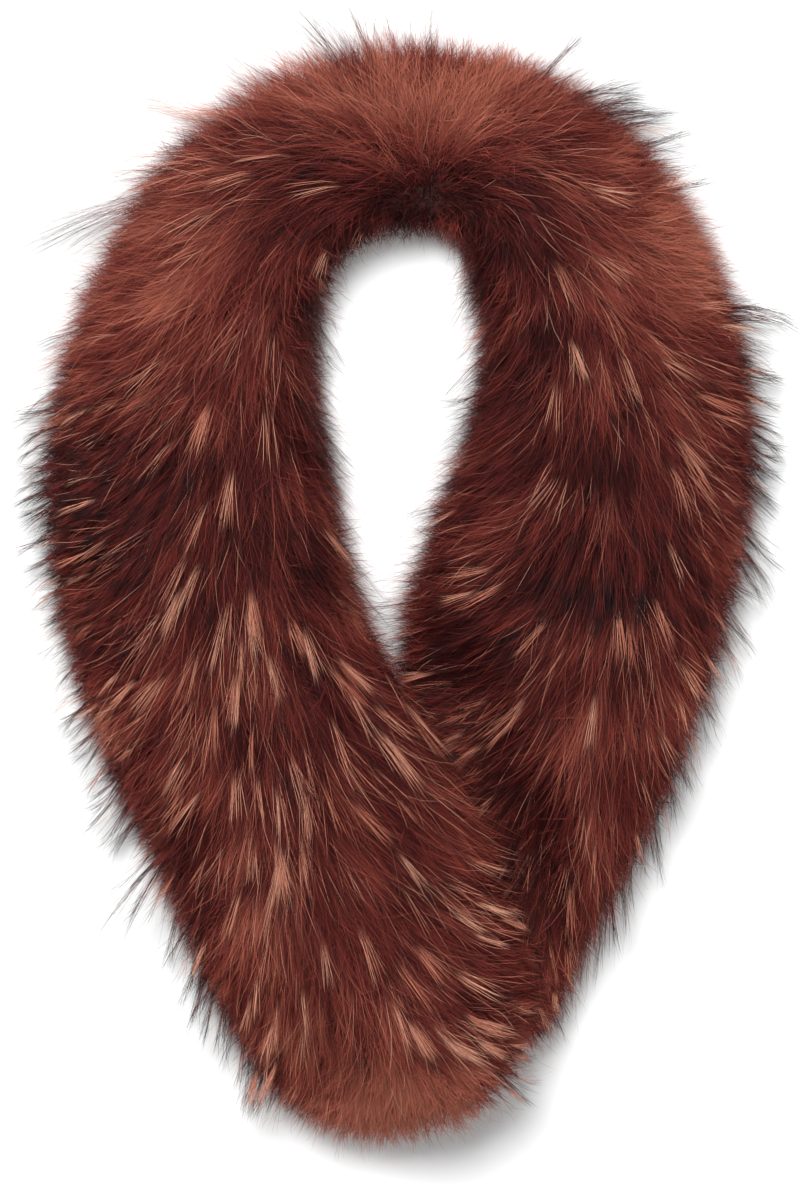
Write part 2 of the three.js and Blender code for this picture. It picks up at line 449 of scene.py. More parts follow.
    def depth_inside(self, spots: np.ndarray) -> np.ndarray:
        """How far inside the strip's edge places lie, seen from above; negative outside.

        Args:
            spots: Places in the pattern's frame, one to a row.

        Returns:
            Depths in millimetres.
        """
        offset = spots - self.spots[-1]
        run = self.run[-1]
        ahead = offset @ run
        beside = offset @ np.array([run[1], -run[0]])
        near, _, away = self._nearest(spots)
        inner, outer = self.sizes[near, Size.INNER], self.sizes[near, Size.OUTER]
        flank = np.where(away < 0, inner + away, outer - away)
        return np.where(ahead > 0, self.end_reach - np.hypot(ahead, beside), flank)


LEFT_STRIP = Strip(LEFT_SECTIONS, 1)
RIGHT_STRIP = Strip(RIGHT_SECTIONS, -1)


def front_only(spots: np.ndarray, depth: np.ndarray, below_seam: float) -> np.ndarray:
    """Keeps the crossing's depths to the front of the collar.

    Args:
        spots: Places in the pattern's frame.
        depth: Depths inside the other strip.
        below_seam: How far in front of the seam the front begins.

    Returns:
        The depths, far outside elsewhere.
    """
    return np.where(spots[:, 1] < SEAM[1] - below_seam, depth, FAR_OUTSIDE)


def lift_of_left(spots: np.ndarray) -> np.ndarray:
    """Height of the left strip's underside over the surface, millimetres."""
    depth = front_only(spots, RIGHT_STRIP.depth_inside(spots), LIFT_FROM)
    return (PRESSED_PILE + LAYER_GAP) * ease(depth, -LIFT_MARGIN - LIFT_FADE, -LIFT_MARGIN)


def press_on_right(spots: np.ndarray) -> np.ndarray:
    """How much the left front presses the right one's pile, 0 to 1."""
    depth = front_only(spots, LEFT_STRIP.depth_inside(spots), PRESS_FROM)
    return ease(depth, -PRESS_MARGIN - PRESS_FADE, -PRESS_MARGIN)


def over_right(spots: np.ndarray) -> np.ndarray:
    """Height that the left front's hair keeps where it passes over the right strip's pile.

    Args:
        spots: Places in the pattern's frame.

    Returns:
        Heights over the surface, 0 away from the right strip.
    """
    along, away = RIGHT_STRIP.locate(spots)
    pile = np.minimum(Side.RIGHT.settle(spots, RIGHT_STRIP.height(along, away)),
                      PRESSED_PILE + PILE_SPRING)
    on_it = (RIGHT_STRIP.edge_share(along, away) < 1) & (spots[:, 1] < SEAM[1] - PRESS_FROM)
    return np.where(on_it, pile + CLEAR_OF_RIGHT, 0)


class Side(Enum):
    """The two strips, as the wearer's loop shows them from above."""

    LEFT = "left"
    RIGHT = "right"

    @property
    def strip(self) -> Strip:
        """The strip's form."""
        return LEFT_STRIP if self is Side.LEFT else RIGHT_STRIP

    def settle(self, spots: np.ndarray, up: np.ndarray) -> np.ndarray:
        """Heights once the strip lies at the crossing: lifted on the left, pressed on the right.

        Args:
            spots: Places in the pattern's frame.
            up: Heights over the strip's own underside.

        Returns:
            Heights over the surface.
        """
        if self is Side.LEFT:
            return up + lift_of_left(spots)
        pressed = press_on_right(spots)
        return up * (1 - pressed) + np.minimum(up, PRESSED_PILE) * pressed


def to_scene(spots: np.ndarray, up: np.ndarray) -> np.ndarray:
    """Places in the scene, metres, from the pattern's frame in millimetres."""
    return np.column_stack([spots - FOOTPRINT_CENTRE, up]) * MM


# ---- Node trees as expressions


class Wire:
    """A node's output, which takes part in arithmetic as a number or as a vector."""

    def __init__(self, board: "Board", socket: bpy.types.NodeSocket) -> None:
        """Keeps the output and the board that it is on."""
        self.board = board
        self.socket = socket

    @staticmethod
    def _is_vector(value: object) -> bool:
        """Whether a wire or a plain value holds more than one number."""
        wired = isinstance(value, Wire)
        return value.socket.type in ("VECTOR", "RGBA") if wired else isinstance(value, tuple)

    def _with(self, operation: str, other: object, swapped: bool = False) -> "Wire":
        """Joins this and another value with a maths node.

        Args:
            operation: The node's operation.
            other: A wire, a number or a tuple.
            swapped: Whether the other value comes first.

        Returns:
            The node's result.
        """
        pair = (other, self) if swapped else (self, other)
        vectors = [self._is_vector(value) for value in pair]
        if not any(vectors):
            return self.board.add("ShaderNodeMath", {"operation": operation}, *pair)
        if operation == "MULTIPLY" and not all(vectors):
            vector, number = pair if vectors[0] else pair[::-1]
            return self.board.add("ShaderNodeVectorMath", {"operation": "SCALE"}, vector, number)
        return self.board.add("ShaderNodeVectorMath", {"operation": operation}, *pair)

    def __add__(self, other: object) -> "Wire":
        """self + other."""
        return self._with("ADD", other)

    def __radd__(self, other: object) -> "Wire":
        """other + self."""
        return self._with("ADD", other, True)

    def __sub__(self, other: object) -> "Wire":
        """self - other."""
        return self._with("SUBTRACT", other)

    def __rsub__(self, other: object) -> "Wire":
        """other - self."""
        return self._with("SUBTRACT", other, True)

    def __mul__(self, other: object) -> "Wire":
        """self * other."""
        return self._with("MULTIPLY", other)

    def __rmul__(self, other: object) -> "Wire":
        """other * self."""
        return self._with("MULTIPLY", other, True)

    def __lt__(self, other: object) -> "Wire":
        """1 where self is below other, else 0."""
        return self._with("LESS_THAN", other)

    def __gt__(self, other: object) -> "Wire":
        """1 where self is above other, else 0."""
        return self._with("GREATER_THAN", other)


class Board:
    """A node tree, written one expression at a time."""

    def __init__(self, tree: bpy.types.NodeTree) -> None:
        """Takes the tree to write in."""
        self.tree = tree

    def put(self, socket: bpy.types.NodeSocket, value: object) -> None:
        """Joins a wire to a socket, or sets a plain value on it.

        Args:
            socket: The socket.
            value: The wire or the value; None leaves the socket alone.
        """
        if isinstance(value, Wire):
            self.tree.links.new(value.socket, socket)
        elif value is not None:
            socket.default_value = value

    def node(self, kind: str, settings: dict | None = None, *values: object,
             **named: object) -> bpy.types.Node:
        """Adds a node.

        Args:
            kind: The node's type.
            settings: Its properties, set before its sockets are read.
            values: Values or wires for its first sockets; None leaves one alone.
            named: Values or wires by socket name, with _ for a space.

        Returns:
            The node.
        """
        node = self.tree.nodes.new(kind)
        for name, value in (settings or {}).items():
            setattr(node, name, value)
        sockets = [socket for socket in node.inputs if socket.enabled]
        pairs = list(zip(sockets, values))
        for name, value in named.items():
            wanted = name.replace("_", " ")
            pairs.append((next(s for s in sockets if s.name == wanted), value))
        for socket, value in pairs:
            self.put(socket, value)
        return node

    def out(self, node: bpy.types.Node, which: str | int = 0) -> Wire:
        """Gives one of a node's outputs as a wire.

        Args:
            node: The node.
            which: The output's place among those in use, or its name.

        Returns:
            The wire.
        """
        sockets = [socket for socket in node.outputs if socket.enabled]
        if isinstance(which, int):
            return Wire(self, sockets[which])
        return Wire(self, next(s for s in sockets if s.name == which))

    def add(self, kind: str, settings: dict | None = None, *values: object,
            **named: object) -> Wire:
        """Adds a node, with node's arguments, and gives its first output."""
        return self.out(self.node(kind, settings, *values, **named))

    def mix(self, first: object, second: object, share: object, kind: str = "FLOAT") -> Wire:
        """Blends two values, colours or vectors.

        Args:
            first: What share 0 gives.
            second: What share 1 gives.
            share: The blend, 0 to 1.
            kind: FLOAT, RGBA or VECTOR.

        Returns:
            The blend.
        """
        node = self.node("ShaderNodeMix", {"data_type": kind})
        values = [socket for socket in node.inputs if socket.enabled]
        for socket, value in zip(values, (share, first, second)):
            self.put(socket, value)
        return self.out(node)

    def blend(self, first: object, second: object, share: object) -> Wire:
        """Blends two colours."""
        return self.mix(first, second, share, "RGBA")

    def step(self, value: Wire, low: float, high: float) -> Wire:
        """Eases from 0 at low to 1 at high."""
        return self.add("ShaderNodeMapRange", {"interpolation_type": "SMOOTHSTEP"},
                        value, low, high, 0.0, 1.0)

    def vector(self, operation: str, *values: object) -> Wire:
        """A Vector Math node by its operation."""
        return self.add("ShaderNodeVectorMath", {"operation": operation}, *values)


# ---- Finishes

Colour = tuple[float, float, float, float]


def tint(red: float, green: float, blue: float) -> Colour:
    """A colour with full alpha."""
    return (red, green, blue, 1.0)


class Surface:
    """A new material with its board and its shader's inputs."""

    def __init__(self, name: str) -> None:
        """Makes the material.

        Args:
            name: The material's name.
        """
        self.material = bpy.data.materials.new(name)
        self.material.use_nodes = True
        self.board = Board(self.material.node_tree)

    def dress(self, **values: object) -> bpy.types.Material:
        """Sets the shader and gives the finished material.

        Args:
            values: Values or wires by the shader's inputs, with _ for a space.

        Returns:
            The material.
        """
        inputs = self.material.node_tree.nodes["Principled BSDF"].inputs
        for name, value in values.items():
            self.board.put(inputs[name.replace("_", " ")], value)
        return self.material

    def place(self) -> Wire:
        """Places in the piece's own frame, metres."""
        return self.board.out(self.board.node("ShaderNodeTexCoord"), "Object")

    def noise(self, scale: float, detail: float) -> Wire:
        """Fine noise of a scale, to the metre, with a number of octaves."""
        return self.board.add("ShaderNodeTexNoise", None, self.place(), Scale=scale, Detail=detail)

    def bump(self, height: Wire, strength: float, depth: float) -> Wire:
        """A surface direction bumped by a height of at most depth metres."""
        return self.board.add("ShaderNodeBump", None, Strength=strength, Distance=depth,
                              Height=height)


@dataclass(frozen=True)
class Ramp:
    """An ease from 0 at low to much at high."""

    low: float
    high: float
    much: float = 1.0

    def over(self, board: Board, value: Wire) -> Wire:
        """The ramp's height at a value."""
        height = board.step(value, self.low, self.high)
        return height if self.much == 1 else height * self.much


@dataclass(frozen=True)
class HairFinish:
    """Dyed guard hair and down, coloured by the strand's own map.

    Across the map lie a rust band from dark to light, a band of pale hair with a black tip, and a
    band of black hair; up it runs the strand from root to tip. A ramp is over the strand's length
    where its name ends in up, and over the rust band's lightness where it ends in tones.
    """

    rust_band: tuple[float, float] = (0.02, 0.60)
    pale_band: tuple[float, float] = (0.64, 0.80)
    black_band: tuple[float, float] = (0.84, 0.98)
    pale_from: float = 0.62
    black_from: float = 0.82

    # Near black: the real dark of bases and burnt tips, and painted shade at rust roots.
    root: Colour = tint(0.016, 0.0036, 0.0038)
    dark: Colour = tint(0.036, 0.0036, 0.0038)
    middle: Colour = tint(0.215, 0.033, 0.025)
    light: Colour = tint(0.50, 0.155, 0.098)
    pale: Colour = tint(0.66, 0.345, 0.235)
    black: Colour = tint(0.012, 0.0083, 0.0098)

    # The next two ramps paint shade at the rust hair's root, partly its own dark base.
    base_and_painted_shade_tones: Ramp = Ramp(0.35, 0.85, 0.4)
    base_and_painted_shade_up: Ramp = Ramp(0.05, 0.7)
    # The next ramps and share paint a highlight on the tips of light rust hair.
    tip_highlight_up: Ramp = Ramp(0.6, 0.95)
    tip_highlight_tones: Ramp = Ramp(0.2, 0.6, 0.3)
    tip_highlight_share: float = 0.45
    burnt_up: Ramp = Ramp(0.74, 0.96)
    unburnt_tones: Ramp = Ramp(0.18, 0.5)
    burnt: float = 0.8
    base_up: Ramp = Ramp(0.05, 0.4)
    pale_up: Ramp = Ramp(0.12, 0.42)
    pale_tip_up: Ramp = Ramp(0.62, 0.8, 0.95)
    black_base: float = 0.6
    black_up: Ramp = Ramp(0.48, 0.7)
    roughness: float = 0.55
    shine: float = 0.08

    def make(self) -> bpy.types.Material:
        """Builds the material."""
        surface = Surface("dyed_hair")
        board = surface.board
        place = board.add("ShaderNodeUVMap", {"uv_map": BAKE_MAP})
        parts = board.node("ShaderNodeSeparateXYZ", None, place)
        across, along = board.out(parts, "X"), board.out(parts, "Y")
        colour = board.blend(self._rust(board, across, along),
                             self._pale(board, across, along), across > self.pale_from)
        colour = board.blend(colour, self._black(board, across, along), across > self.black_from)
        return surface.dress(Base_Color=colour, Roughness=self.roughness,
                             Specular_IOR_Level=self.shine)

    def _share(self, across: Wire, band: tuple[float, float]) -> Wire:
        """How far across a band of the map a place lies."""
        return (across - band[0]) * (1 / (band[1] - band[0]))

    def _rust(self, board: Board, across: Wire, along: Wire) -> Wire:
        """Rust hair, dark at the root, with a lighter tip where it is light and a burnt one if
        dark.

        The dark root is partly the hair's own base and partly painted shade; the lighter tip is a
        painted highlight.

        Args:
            board: The material's board.
            across: Places across the map.
            along: Places along the strand.

        Returns:
            The colour.
        """
        lightness = self._share(across, self.rust_band)
        body = board.blend(self.dark, self.middle, lightness * 2)
        body = board.blend(body, self.light, lightness * 2 - 1)
        # Root end: partly own dark base, partly painted shade, lifted in light tones.
        low = board.blend(self.root, body, self.base_and_painted_shade_tones.over(board, lightness))
        rust = board.blend(low, body, self.base_and_painted_shade_up.over(board, along))
        # Painted highlight on the tips of light hair.
        tip_highlight = self.tip_highlight_up.over(board, along) * self.tip_highlight_tones.over(board, lightness)
        rust = board.blend(rust, board.blend(body, self.light, self.tip_highlight_share), tip_highlight)
        burnt = self.burnt_up.over(board, along) * (1 - self.unburnt_tones.over(board, lightness))
        return board.blend(rust, self.root, burnt * self.burnt)

    def _pale(self, board: Board, across: Wire, along: Wire) -> Wire:
        """Pale hair with a dark base and a black tip.

        Args:
            board: The material's board.
            across: Places across the map.
            along: Places along the strand.

        Returns:
            The colour.
        """
        base = board.blend(self.root, self.dark, self.base_up.over(board, along))
        middle = board.blend(self.light, self.pale, self._share(across, self.pale_band))
        pale = board.blend(base, middle, self.pale_up.over(board, along))
        return board.blend(pale, self.black, self.pale_tip_up.over(board, along))

    def _black(self, board: Board, across: Wire, along: Wire) -> Wire:
        """Black-tipped hair with a dark rust base.

        Args:
            board: The material's board.
            across: Places across the map.
            along: Places along the strand.

        Returns:
            The colour.
        """
        depth = self._share(across, self.black_band)
        base = board.blend(self.dark, self.middle, depth * self.black_base)
        black = board.blend(self.root, base, self.base_up.over(board, along))
        return board.blend(black, self.black, self.black_up.over(board, along))


@dataclass(frozen=True)
class SkinFinish:
    """Dyed suede: the flesh side of the pelt. clouds and grain are noises' scale and detail."""

    colour: Colour = tint(0.23, 0.095, 0.062)
    worn: Colour = tint(0.14, 0.055, 0.036)
    clouds: tuple[float, float] = (40.0, 4.0)
    cloud_edge: tuple[float, float] = (0.3, 0.7)
    grain: tuple[float, float] = (900.0, 3.0)
    grain_strength: float = 0.35
    grain_depth: float = 0.0006
    roughness: float = 0.92

    def make(self) -> bpy.types.Material:
        """Builds the material."""
        surface = Surface("suede_skin")
        clouds = surface.board.step(surface.noise(*self.clouds), *self.cloud_edge)
        colour = surface.board.blend(self.worn, self.colour, clouds)
        bump = surface.bump(surface.noise(*self.grain), self.grain_strength, self.grain_depth)
        return surface.dress(Base_Color=colour, Normal=bump, Roughness=self.roughness)


@dataclass(frozen=True)
class DownFinish:
    """The matted down that the hair grows from. tufts and wisps are noises' scale and detail."""

    colour: Colour = tint(0.060, 0.015, 0.010)
    deep: Colour = tint(0.024, 0.007, 0.006)
    tufts: tuple[float, float] = (160.0, 6.0)
    tuft_edge: tuple[float, float] = (0.3, 0.7)
    wisps: tuple[float, float] = (900.0, 4.0)
    tuft_share: float = 0.6
    tuft_strength: float = 0.8
    tuft_depth: float = 0.002
    roughness: float = 0.95

    def make(self) -> bpy.types.Material:
        """Builds the material."""
        surface = Surface("matted_down")
        tufts, wisps = surface.noise(*self.tufts), surface.noise(*self.wisps)
        colour = surface.board.blend(self.deep, self.colour,
                                     surface.board.step(tufts, *self.tuft_edge))
        height = tufts * self.tuft_share + wisps * (1 - self.tuft_share)
        bump = surface.bump(height, self.tuft_strength, self.tuft_depth)
        return surface.dress(Base_Color=colour, Normal=bump, Roughness=self.roughness)


@dataclass(frozen=True)
class FloorFinish:
    """A plain pale surface."""

    colour: Colour = tint(0.90, 0.90, 0.90)
    roughness: float = 0.9

    def make(self) -> bpy.types.Material:
        """Builds the material."""
        return Surface("pale_floor").dress(Base_Color=self.colour, Roughness=self.roughness)


# ---- The fur: Geometry Nodes that grow locks, wisps and strands


@dataclass(frozen=True)
class Coat:
    """One layer of a strip's hair, with sizes in millimetres and turns in degrees.

    length and height are the least and the most share of the hair's own length and rise, uneven
    is how much the wisps differ in length, and stray is the largest turn of a hair. to_wisp and
    to_lock say how far the middle and the tip are drawn to the nearest wisp's and lock's, fray
    lets some tips off, and root_to_wisp draws the roots. lift raises the roots, frizz bends each
    hair and roll turns its ribbon. pale, black, variety and tone change the hair's colours.
    """

    name: str
    strands: int
    pieces: int
    width: float
    length: tuple[float, float]
    height: tuple[float, float]
    uneven: float
    stray: float
    wisps_apart: float
    to_wisp: tuple[float, float]
    fray: float
    to_lock: tuple[float, float]
    root_to_wisp: float
    lift: float
    frizz: float
    roll: float
    guard: bool
    pale: float
    black: float
    variety: float
    tone: float
    seed: int


class FurTree:
    """The node group that grows one coat of strands from a surface of roots."""

    INPUTS = {
        "Locks apart": 0.0085,
        "Wisps apart": 0.0026,
        "Strands per area": 1e5,
        "Width": 0.0005,
        "Shortest": 0.8,
        "Longest": 1.1,
        "Lowest": 0.5,
        "Highest": 1.0,
        "Uneven": 0.15,
        "Stray": 0.1,
        "Roll": 0.6,
        "Bend to wisp": 0.5,
        "Tip to wisp": 0.85,
        "Fray": 0.0,
        "Bend to lock": 0.4,
        "Tip to lock": 0.7,
        "Root to wisp": 0.0,
        "Lift": 0.0,
        "Frizz": 0.0008,
        "Pale": 1.0,
        "Black": 1.0,
        "Variety": 1.0,
        "Tone": 0.0,
        "Guard": 0.0,
    }
    # Seeds of the scatter, the loosening and the fates of locks and wisps, and of hairs' fates.
    # The hairs' other draws add these numbers to the coat's own seed.
    LOCK_SEEDS = (11, 31, 41)
    WISP_SEEDS = (23, 51, 61)
    HAIR_FATE_SEED = 71
    LOOSEN_DRAW, LENGTH_DRAW, WAVER_DRAWS, BAND_DRAW = 1, 7, (8, 9), 10
    ROLL_DRAW, WIDTH_DRAW, FRAY_DRAW = 12, 13, 15
    # The largest turn in radians, the least and most share of the length and the rise, how much
    # of the fate is a point's own, and how far its shade strays.
    LOCK_TURN, LOCK_LENGTH, LOCK_RISE = 0.4, (0.75, 1.1), (0.55, 1.15)
    WISP_TURN, WISP_RISE = 0.32, (0.7, 1.15)
    CURL = 0.7
    WISP_OWN, HAIR_OWN = 0.8, 0.2
    LOCK_SPREAD, WISP_SPREAD, HAIR_SPREAD = 0.22, 0.13, 0.13
    # A guard coat's unmarked hairs are shorter and finer, and reach less far at a rim.
    UNMARKED_LENGTH, UNMARKED_WIDTH = 0.72, 0.55
    UNMARKED_SPARE, MARKED_SPARE = 0.35, 0.85
    TIP_FRIZZ = 1.5
    WIDTHS = (0.6, 1.25)
    # How a pale hair's place across its band follows its shade and its own draw.
    KIND_SHADE, KIND_DRAW, KIND_LEAST = 1.5, 0.6, 0.15
    # The width of a hair on the map, the half box that hair stays in, and its lowest corner.
    MAP_WIDTH = 0.004
    HAIR_BOX = (0.2070, 0.3040, 0.0792)
    LOWEST = (-9.0, -9.0, 0.0004)
    DENSEST = 1e6

    def __init__(self, finish: HairFinish) -> None:
        """Writes the group.

        Args:
            finish: The hair's finish, whose bands the strands choose from.
        """
        self.finish = finish
        self.group = bpy.data.node_groups.new("grow_fur", "GeometryNodeTree")
        face = self.group.interface
        for name, kind in (("Roots", "Geometry"), ("Strand", "Object"), ("Hair", "Material"),
                           ("Seed", "Int")):
            face.new_socket(name, in_out="INPUT", socket_type=f"NodeSocket{kind}")
        for name, value in self.INPUTS.items():
            socket = face.new_socket(name, in_out="INPUT", socket_type="NodeSocketFloat")
            socket.default_value = value
        face.new_socket("Fur", in_out="OUTPUT", socket_type="NodeSocketGeometry")
        self.board = Board(self.group)
        self.entry = self.board.node("NodeGroupInput")
        fur = self._strands()
        exit_node = self.group.nodes.new("NodeGroupOutput")
        self.group.links.new(fur.socket, exit_node.inputs["Fur"])

    def _given(self, name: str) -> Wire:
        """A named input of the group."""
        return self.board.out(self.entry, name)

    def _named(self, name: str, kind: str = "FLOAT_VECTOR") -> Wire:
        """An attribute by name."""
        return self.board.add("GeometryNodeInputNamedAttribute", {"data_type": kind}, name)

    def _store(self, geometry: Wire, kind: str = "FLOAT_VECTOR", domain: str = "POINT",
               **fields: Wire) -> Wire:
        """Stores attributes one after another.

        Args:
            geometry: What they are stored on.
            kind: Their data type.
            domain: Their domain.
            fields: Values by attribute name.

        Returns:
            The geometry with them.
        """
        for name, value in fields.items():
            node = self.board.node("GeometryNodeStoreNamedAttribute",
                                   {"data_type": kind, "domain": domain}, geometry)
            sockets = {s.name: s for s in node.inputs if s.enabled}
            sockets["Name"].default_value = name
            self.board.put(sockets["Value"], value)
            geometry = self.board.out(node)
        return geometry

    def _random(self, low: object, high: object, seed: object) -> Wire:
        """A seeded random number for each point."""
        return self.board.add("FunctionNodeRandomValue", {"data_type": "FLOAT"},
                              low, high, Seed=seed)

    def _scatter(self, seed: object, apart: Wire | None = None) -> Wire:
        """Scatters points over the roots, evenly apart or by area.

        Args:
            seed: Seed of the scatter.
            apart: Least distance between points; none scatters by area.

        Returns:
            Points with the roots' attributes and their outward direction stored.
        """
        settings = {"distribute_method": "RANDOM" if apart is None else "POISSON"}
        node = self.board.node("GeometryNodeDistributePointsOnFaces", settings,
                               self._given("Roots"), Seed=seed)
        sockets = {s.name: s for s in node.inputs if s.enabled}
        if apart is None:
            density = self._given("Strands per area") * self._named("cover", "FLOAT")
            self.board.put(sockets["Density"], density)
        else:
            self.board.put(sockets["Distance Min"], apart)
            self.board.put(sockets["Density Max"], self.DENSEST)
        points = self.board.out(node, "Points")
        return self._store(points, out=self.board.out(node, "Normal"))

    def _loosen(self, points: Wire, stray: object, seed: object, length: tuple,
                height: tuple) -> Wire:
        """Turns, lengthens and lifts each point's hair a little at random.

        Args:
            points: Points with bend, tip and out.
            stray: Largest turn about the outward direction, radians.
            seed: Seed of the draws.
            length: Least and most length, as shares.
            height: Least and most rise over the roots, as shares.

        Returns:
            The points, changed.
        """
        out = self._named("out")
        turn = self._random(-1.0, 1.0, seed) * stray
        curl = self._random(-self.CURL, self.CURL, seed + 3) * stray
        grown = self._random(*length, seed + 1)
        risen = self._random(*height, seed + 2)
        fields = {}
        for name in ("bend", "tip"):
            turned = self.board.add("ShaderNodeVectorRotate", {"rotation_type": "AXIS_ANGLE"},
                                    self._named(name), Axis=out,
                                    Angle=turn + curl if name == "tip" else turn)
            rise = self.board.out(self.board.node(
                "ShaderNodeVectorMath", {"operation": "DOT_PRODUCT"}, turned, out))
            fields[name] = (turned - out * (rise * (1 - risen))) * grown
        return self._store(points, **fields)

    def _gather(self, points: Wire, parents: Wire, bend_share: Wire, tip_share: Wire) -> Wire:
        """Draws each point's hair towards the nearest parent's.

        Args:
            points: Points with bend and tip.
            parents: Points that lead them.
            bend_share: How much the middle follows.
            tip_share: How much the tip follows.

        Returns:
            The points, changed, with the parent's fate and shade read.
        """
        here = self.board.add("GeometryNodeInputPosition")
        near = self.board.add("GeometryNodeSampleNearest", {"domain": "POINT"}, parents, here)

        def led(value: Wire, kind: str = "FLOAT_VECTOR") -> Wire:
            """The parent's value."""
            return self.board.add("GeometryNodeSampleIndex",
                                  {"data_type": kind, "domain": "POINT"}, parents, value, near)

        off = led(here) - here
        gathering = self._named("gather", "FLOAT")
        bend = self.board.mix(self._named("bend"), led(self._named("bend")) + off * 0.5,
                              bend_share * gathering, "VECTOR")
        tip = self.board.mix(self._named("tip"), led(self._named("tip")) + off,
                             tip_share * gathering, "VECTOR")
        fate = led(self._named("fate", "FLOAT"), "FLOAT")
        shade = led(self._named("shade", "FLOAT"), "FLOAT")
        points = self._store(points, bend=bend, tip=tip, aside=off)
        return self._store(points, "FLOAT", led_fate=fate, led_shade=shade)

    def _fates(self, points: Wire, seed: int, spread: float, own: float | None = None) -> Wire:
        """Gives each point a fate, which picks its kind of hair, and a shade of its own.

        Args:
            points: The points.
            seed: Seed of the draws.
            spread: How far the point's shade strays.
            own: How much of the fate is the point's own; none where it has no parent.

        Returns:
            The points with fate and shade.
        """
        fate = self._random(0.0, 1.0, seed)
        shade = self._random(-spread, spread, seed + 1) * self._given("Variety")
        if own is not None:
            fate = self.board.mix(self._named("led_fate", "FLOAT"), fate, own)
            shade = shade + self._named("led_shade", "FLOAT")
        return self._store(points, "FLOAT", fate=fate, shade=shade)

    def _strands(self) -> Wire:
        """Grows the strands and gives the finished mesh."""
        board, given = self.board, self._given
        scatter, loosen, fates = self.LOCK_SEEDS
        locks = self._scatter(scatter, given("Locks apart"))
        locks = self._loosen(locks, self.LOCK_TURN, loosen, self.LOCK_LENGTH, self.LOCK_RISE)
        locks = self._fates(locks, fates, self.LOCK_SPREAD)

        scatter, loosen, fates = self.WISP_SEEDS
        wisps = self._scatter(scatter, given("Wisps apart"))
        wisps = self._loosen(wisps, self.WISP_TURN, loosen,
                             (1 - given("Uneven"), 1 + given("Uneven")), self.WISP_RISE)
        wisps = self._gather(wisps, locks, given("Bend to lock"), given("Tip to lock"))
        wisps = self._fates(wisps, fates, self.WISP_SPREAD, self.WISP_OWN)

        seed = given("Seed")
        hairs = self._scatter(seed)
        stray = given("Stray") * self._named("loose", "FLOAT")
        hairs = self._loosen(hairs, stray, seed + self.LOOSEN_DRAW, (1.0, 1.0),
                             (given("Lowest"), given("Highest")))
        held = 1 - self._random(0.0, 1.0, seed + self.FRAY_DRAW) * given("Fray")
        hairs = self._gather(hairs, wisps, given("Bend to wisp"), given("Tip to wisp") * held)
        hairs = self._fates(hairs, self.HAIR_FATE_SEED, self.HAIR_SPREAD, self.HAIR_OWN)
        hairs = self._shape(hairs, seed)

        strand = board.out(board.node("GeometryNodeObjectInfo", None, given("Strand")), "Geometry")
        placed = board.add("GeometryNodeInstanceOnPoints", None, hairs, Instance=strand)
        return self._finish(board.add("GeometryNodeRealizeInstances", None, placed))

    def _shape(self, hairs: Wire, seed: Wire) -> Wire:
        """Gives each hair its length, frizz, root, roll, width and place on the map.

        Args:
            hairs: Gathered hairs with their fates.
            seed: Seed of the draws.

        Returns:
            The hairs, ready for their strands.
        """
        board, given = self.board, self._given
        bend, tip = self._named("bend"), self._named("tip")
        # 0 for a guard coat's unmarked hair, else 1.
        full = 1 - given("Guard") * (1 - board.add("ShaderNodeMath", {"operation": "MAXIMUM"},
                                                   *self._kinds()))
        grown = self._random(given("Shortest"), given("Longest"), seed + self.LENGTH_DRAW)
        grown = grown * (self.UNMARKED_LENGTH + full * (1 - self.UNMARKED_LENGTH))
        grown = grown * (1 + self._named("spare", "FLOAT") * given("Guard")
                         * (self.UNMARKED_SPARE + full * self.MARKED_SPARE))
        waver = [board.add("FunctionNodeRandomValue", {"data_type": "FLOAT_VECTOR"},
                           (-1.0, -1.0, -1.0), (1.0, 1.0, 1.0), Seed=seed + n) * given("Frizz")
                 for n in self.WAVER_DRAWS]
        hairs = self._store(hairs, bend=bend * grown + waver[0],
                            tip=tip * grown + waver[1] * self.TIP_FRIZZ)
        drawn = given("Root to wisp") * self._named("gather", "FLOAT")
        moved = self._named("aside") * drawn + self._named("out") * given("Lift")
        hairs = self._store(hairs, root=board.add("GeometryNodeInputPosition") + moved,
                            bend=bend - moved * 0.5, tip=tip - moved)
        room = self._room()
        hairs = self._store(hairs, bend=bend * room, tip=tip * room)
        wide = self._random(*self.WIDTHS, seed + self.WIDTH_DRAW)
        wide = wide * (self.UNMARKED_WIDTH + full * (1 - self.UNMARKED_WIDTH))
        roll = self._random(-1.0, 1.0, seed + self.ROLL_DRAW) * given("Roll")
        return self._store(hairs, "FLOAT", map_at=self._map_place(seed), wide=wide, roll=roll)

    def _room(self) -> Wire:
        """How much of its length a strand may have inside the box that the hair may fill."""
        board = self.board
        tip, root = self._named("tip"), self._named("root")
        far = board.vector("ABSOLUTE", tip)
        left = board.vector("SUBTRACT", self.HAIR_BOX, root * board.vector("SIGN", tip))
        parts = board.node("ShaderNodeSeparateXYZ", None, board.vector("DIVIDE", left, far))
        least = board.out(parts, "X")
        for axis in "YZ":
            least = board.add("ShaderNodeMath", {"operation": "MINIMUM"}, least,
                              board.out(parts, axis))
        return board.add("ShaderNodeClamp", None, least, 0.0, 1.0)

    def _kinds(self) -> tuple[Wire, Wire]:
        """1 where a strand is of the pale kind, and of the black kind, else 0."""
        fate = self._named("fate", "FLOAT")
        return (fate > 1 - self._named("pale", "FLOAT") * self._given("Pale"),
                fate < self._named("black", "FLOAT") * self._given("Black"))

    def _map_place(self, seed: Wire) -> Wire:
        """Where across the hair's map a strand lies, by its fate and shade.

        Args:
            seed: Seed of the draws.

        Returns:
            The place, 0 to 1.
        """
        board = self.board

        def within(band: tuple[float, float], share: Wire) -> Wire:
            """A place in a band of the map."""
            return band[0] + share * (band[1] - band[0])

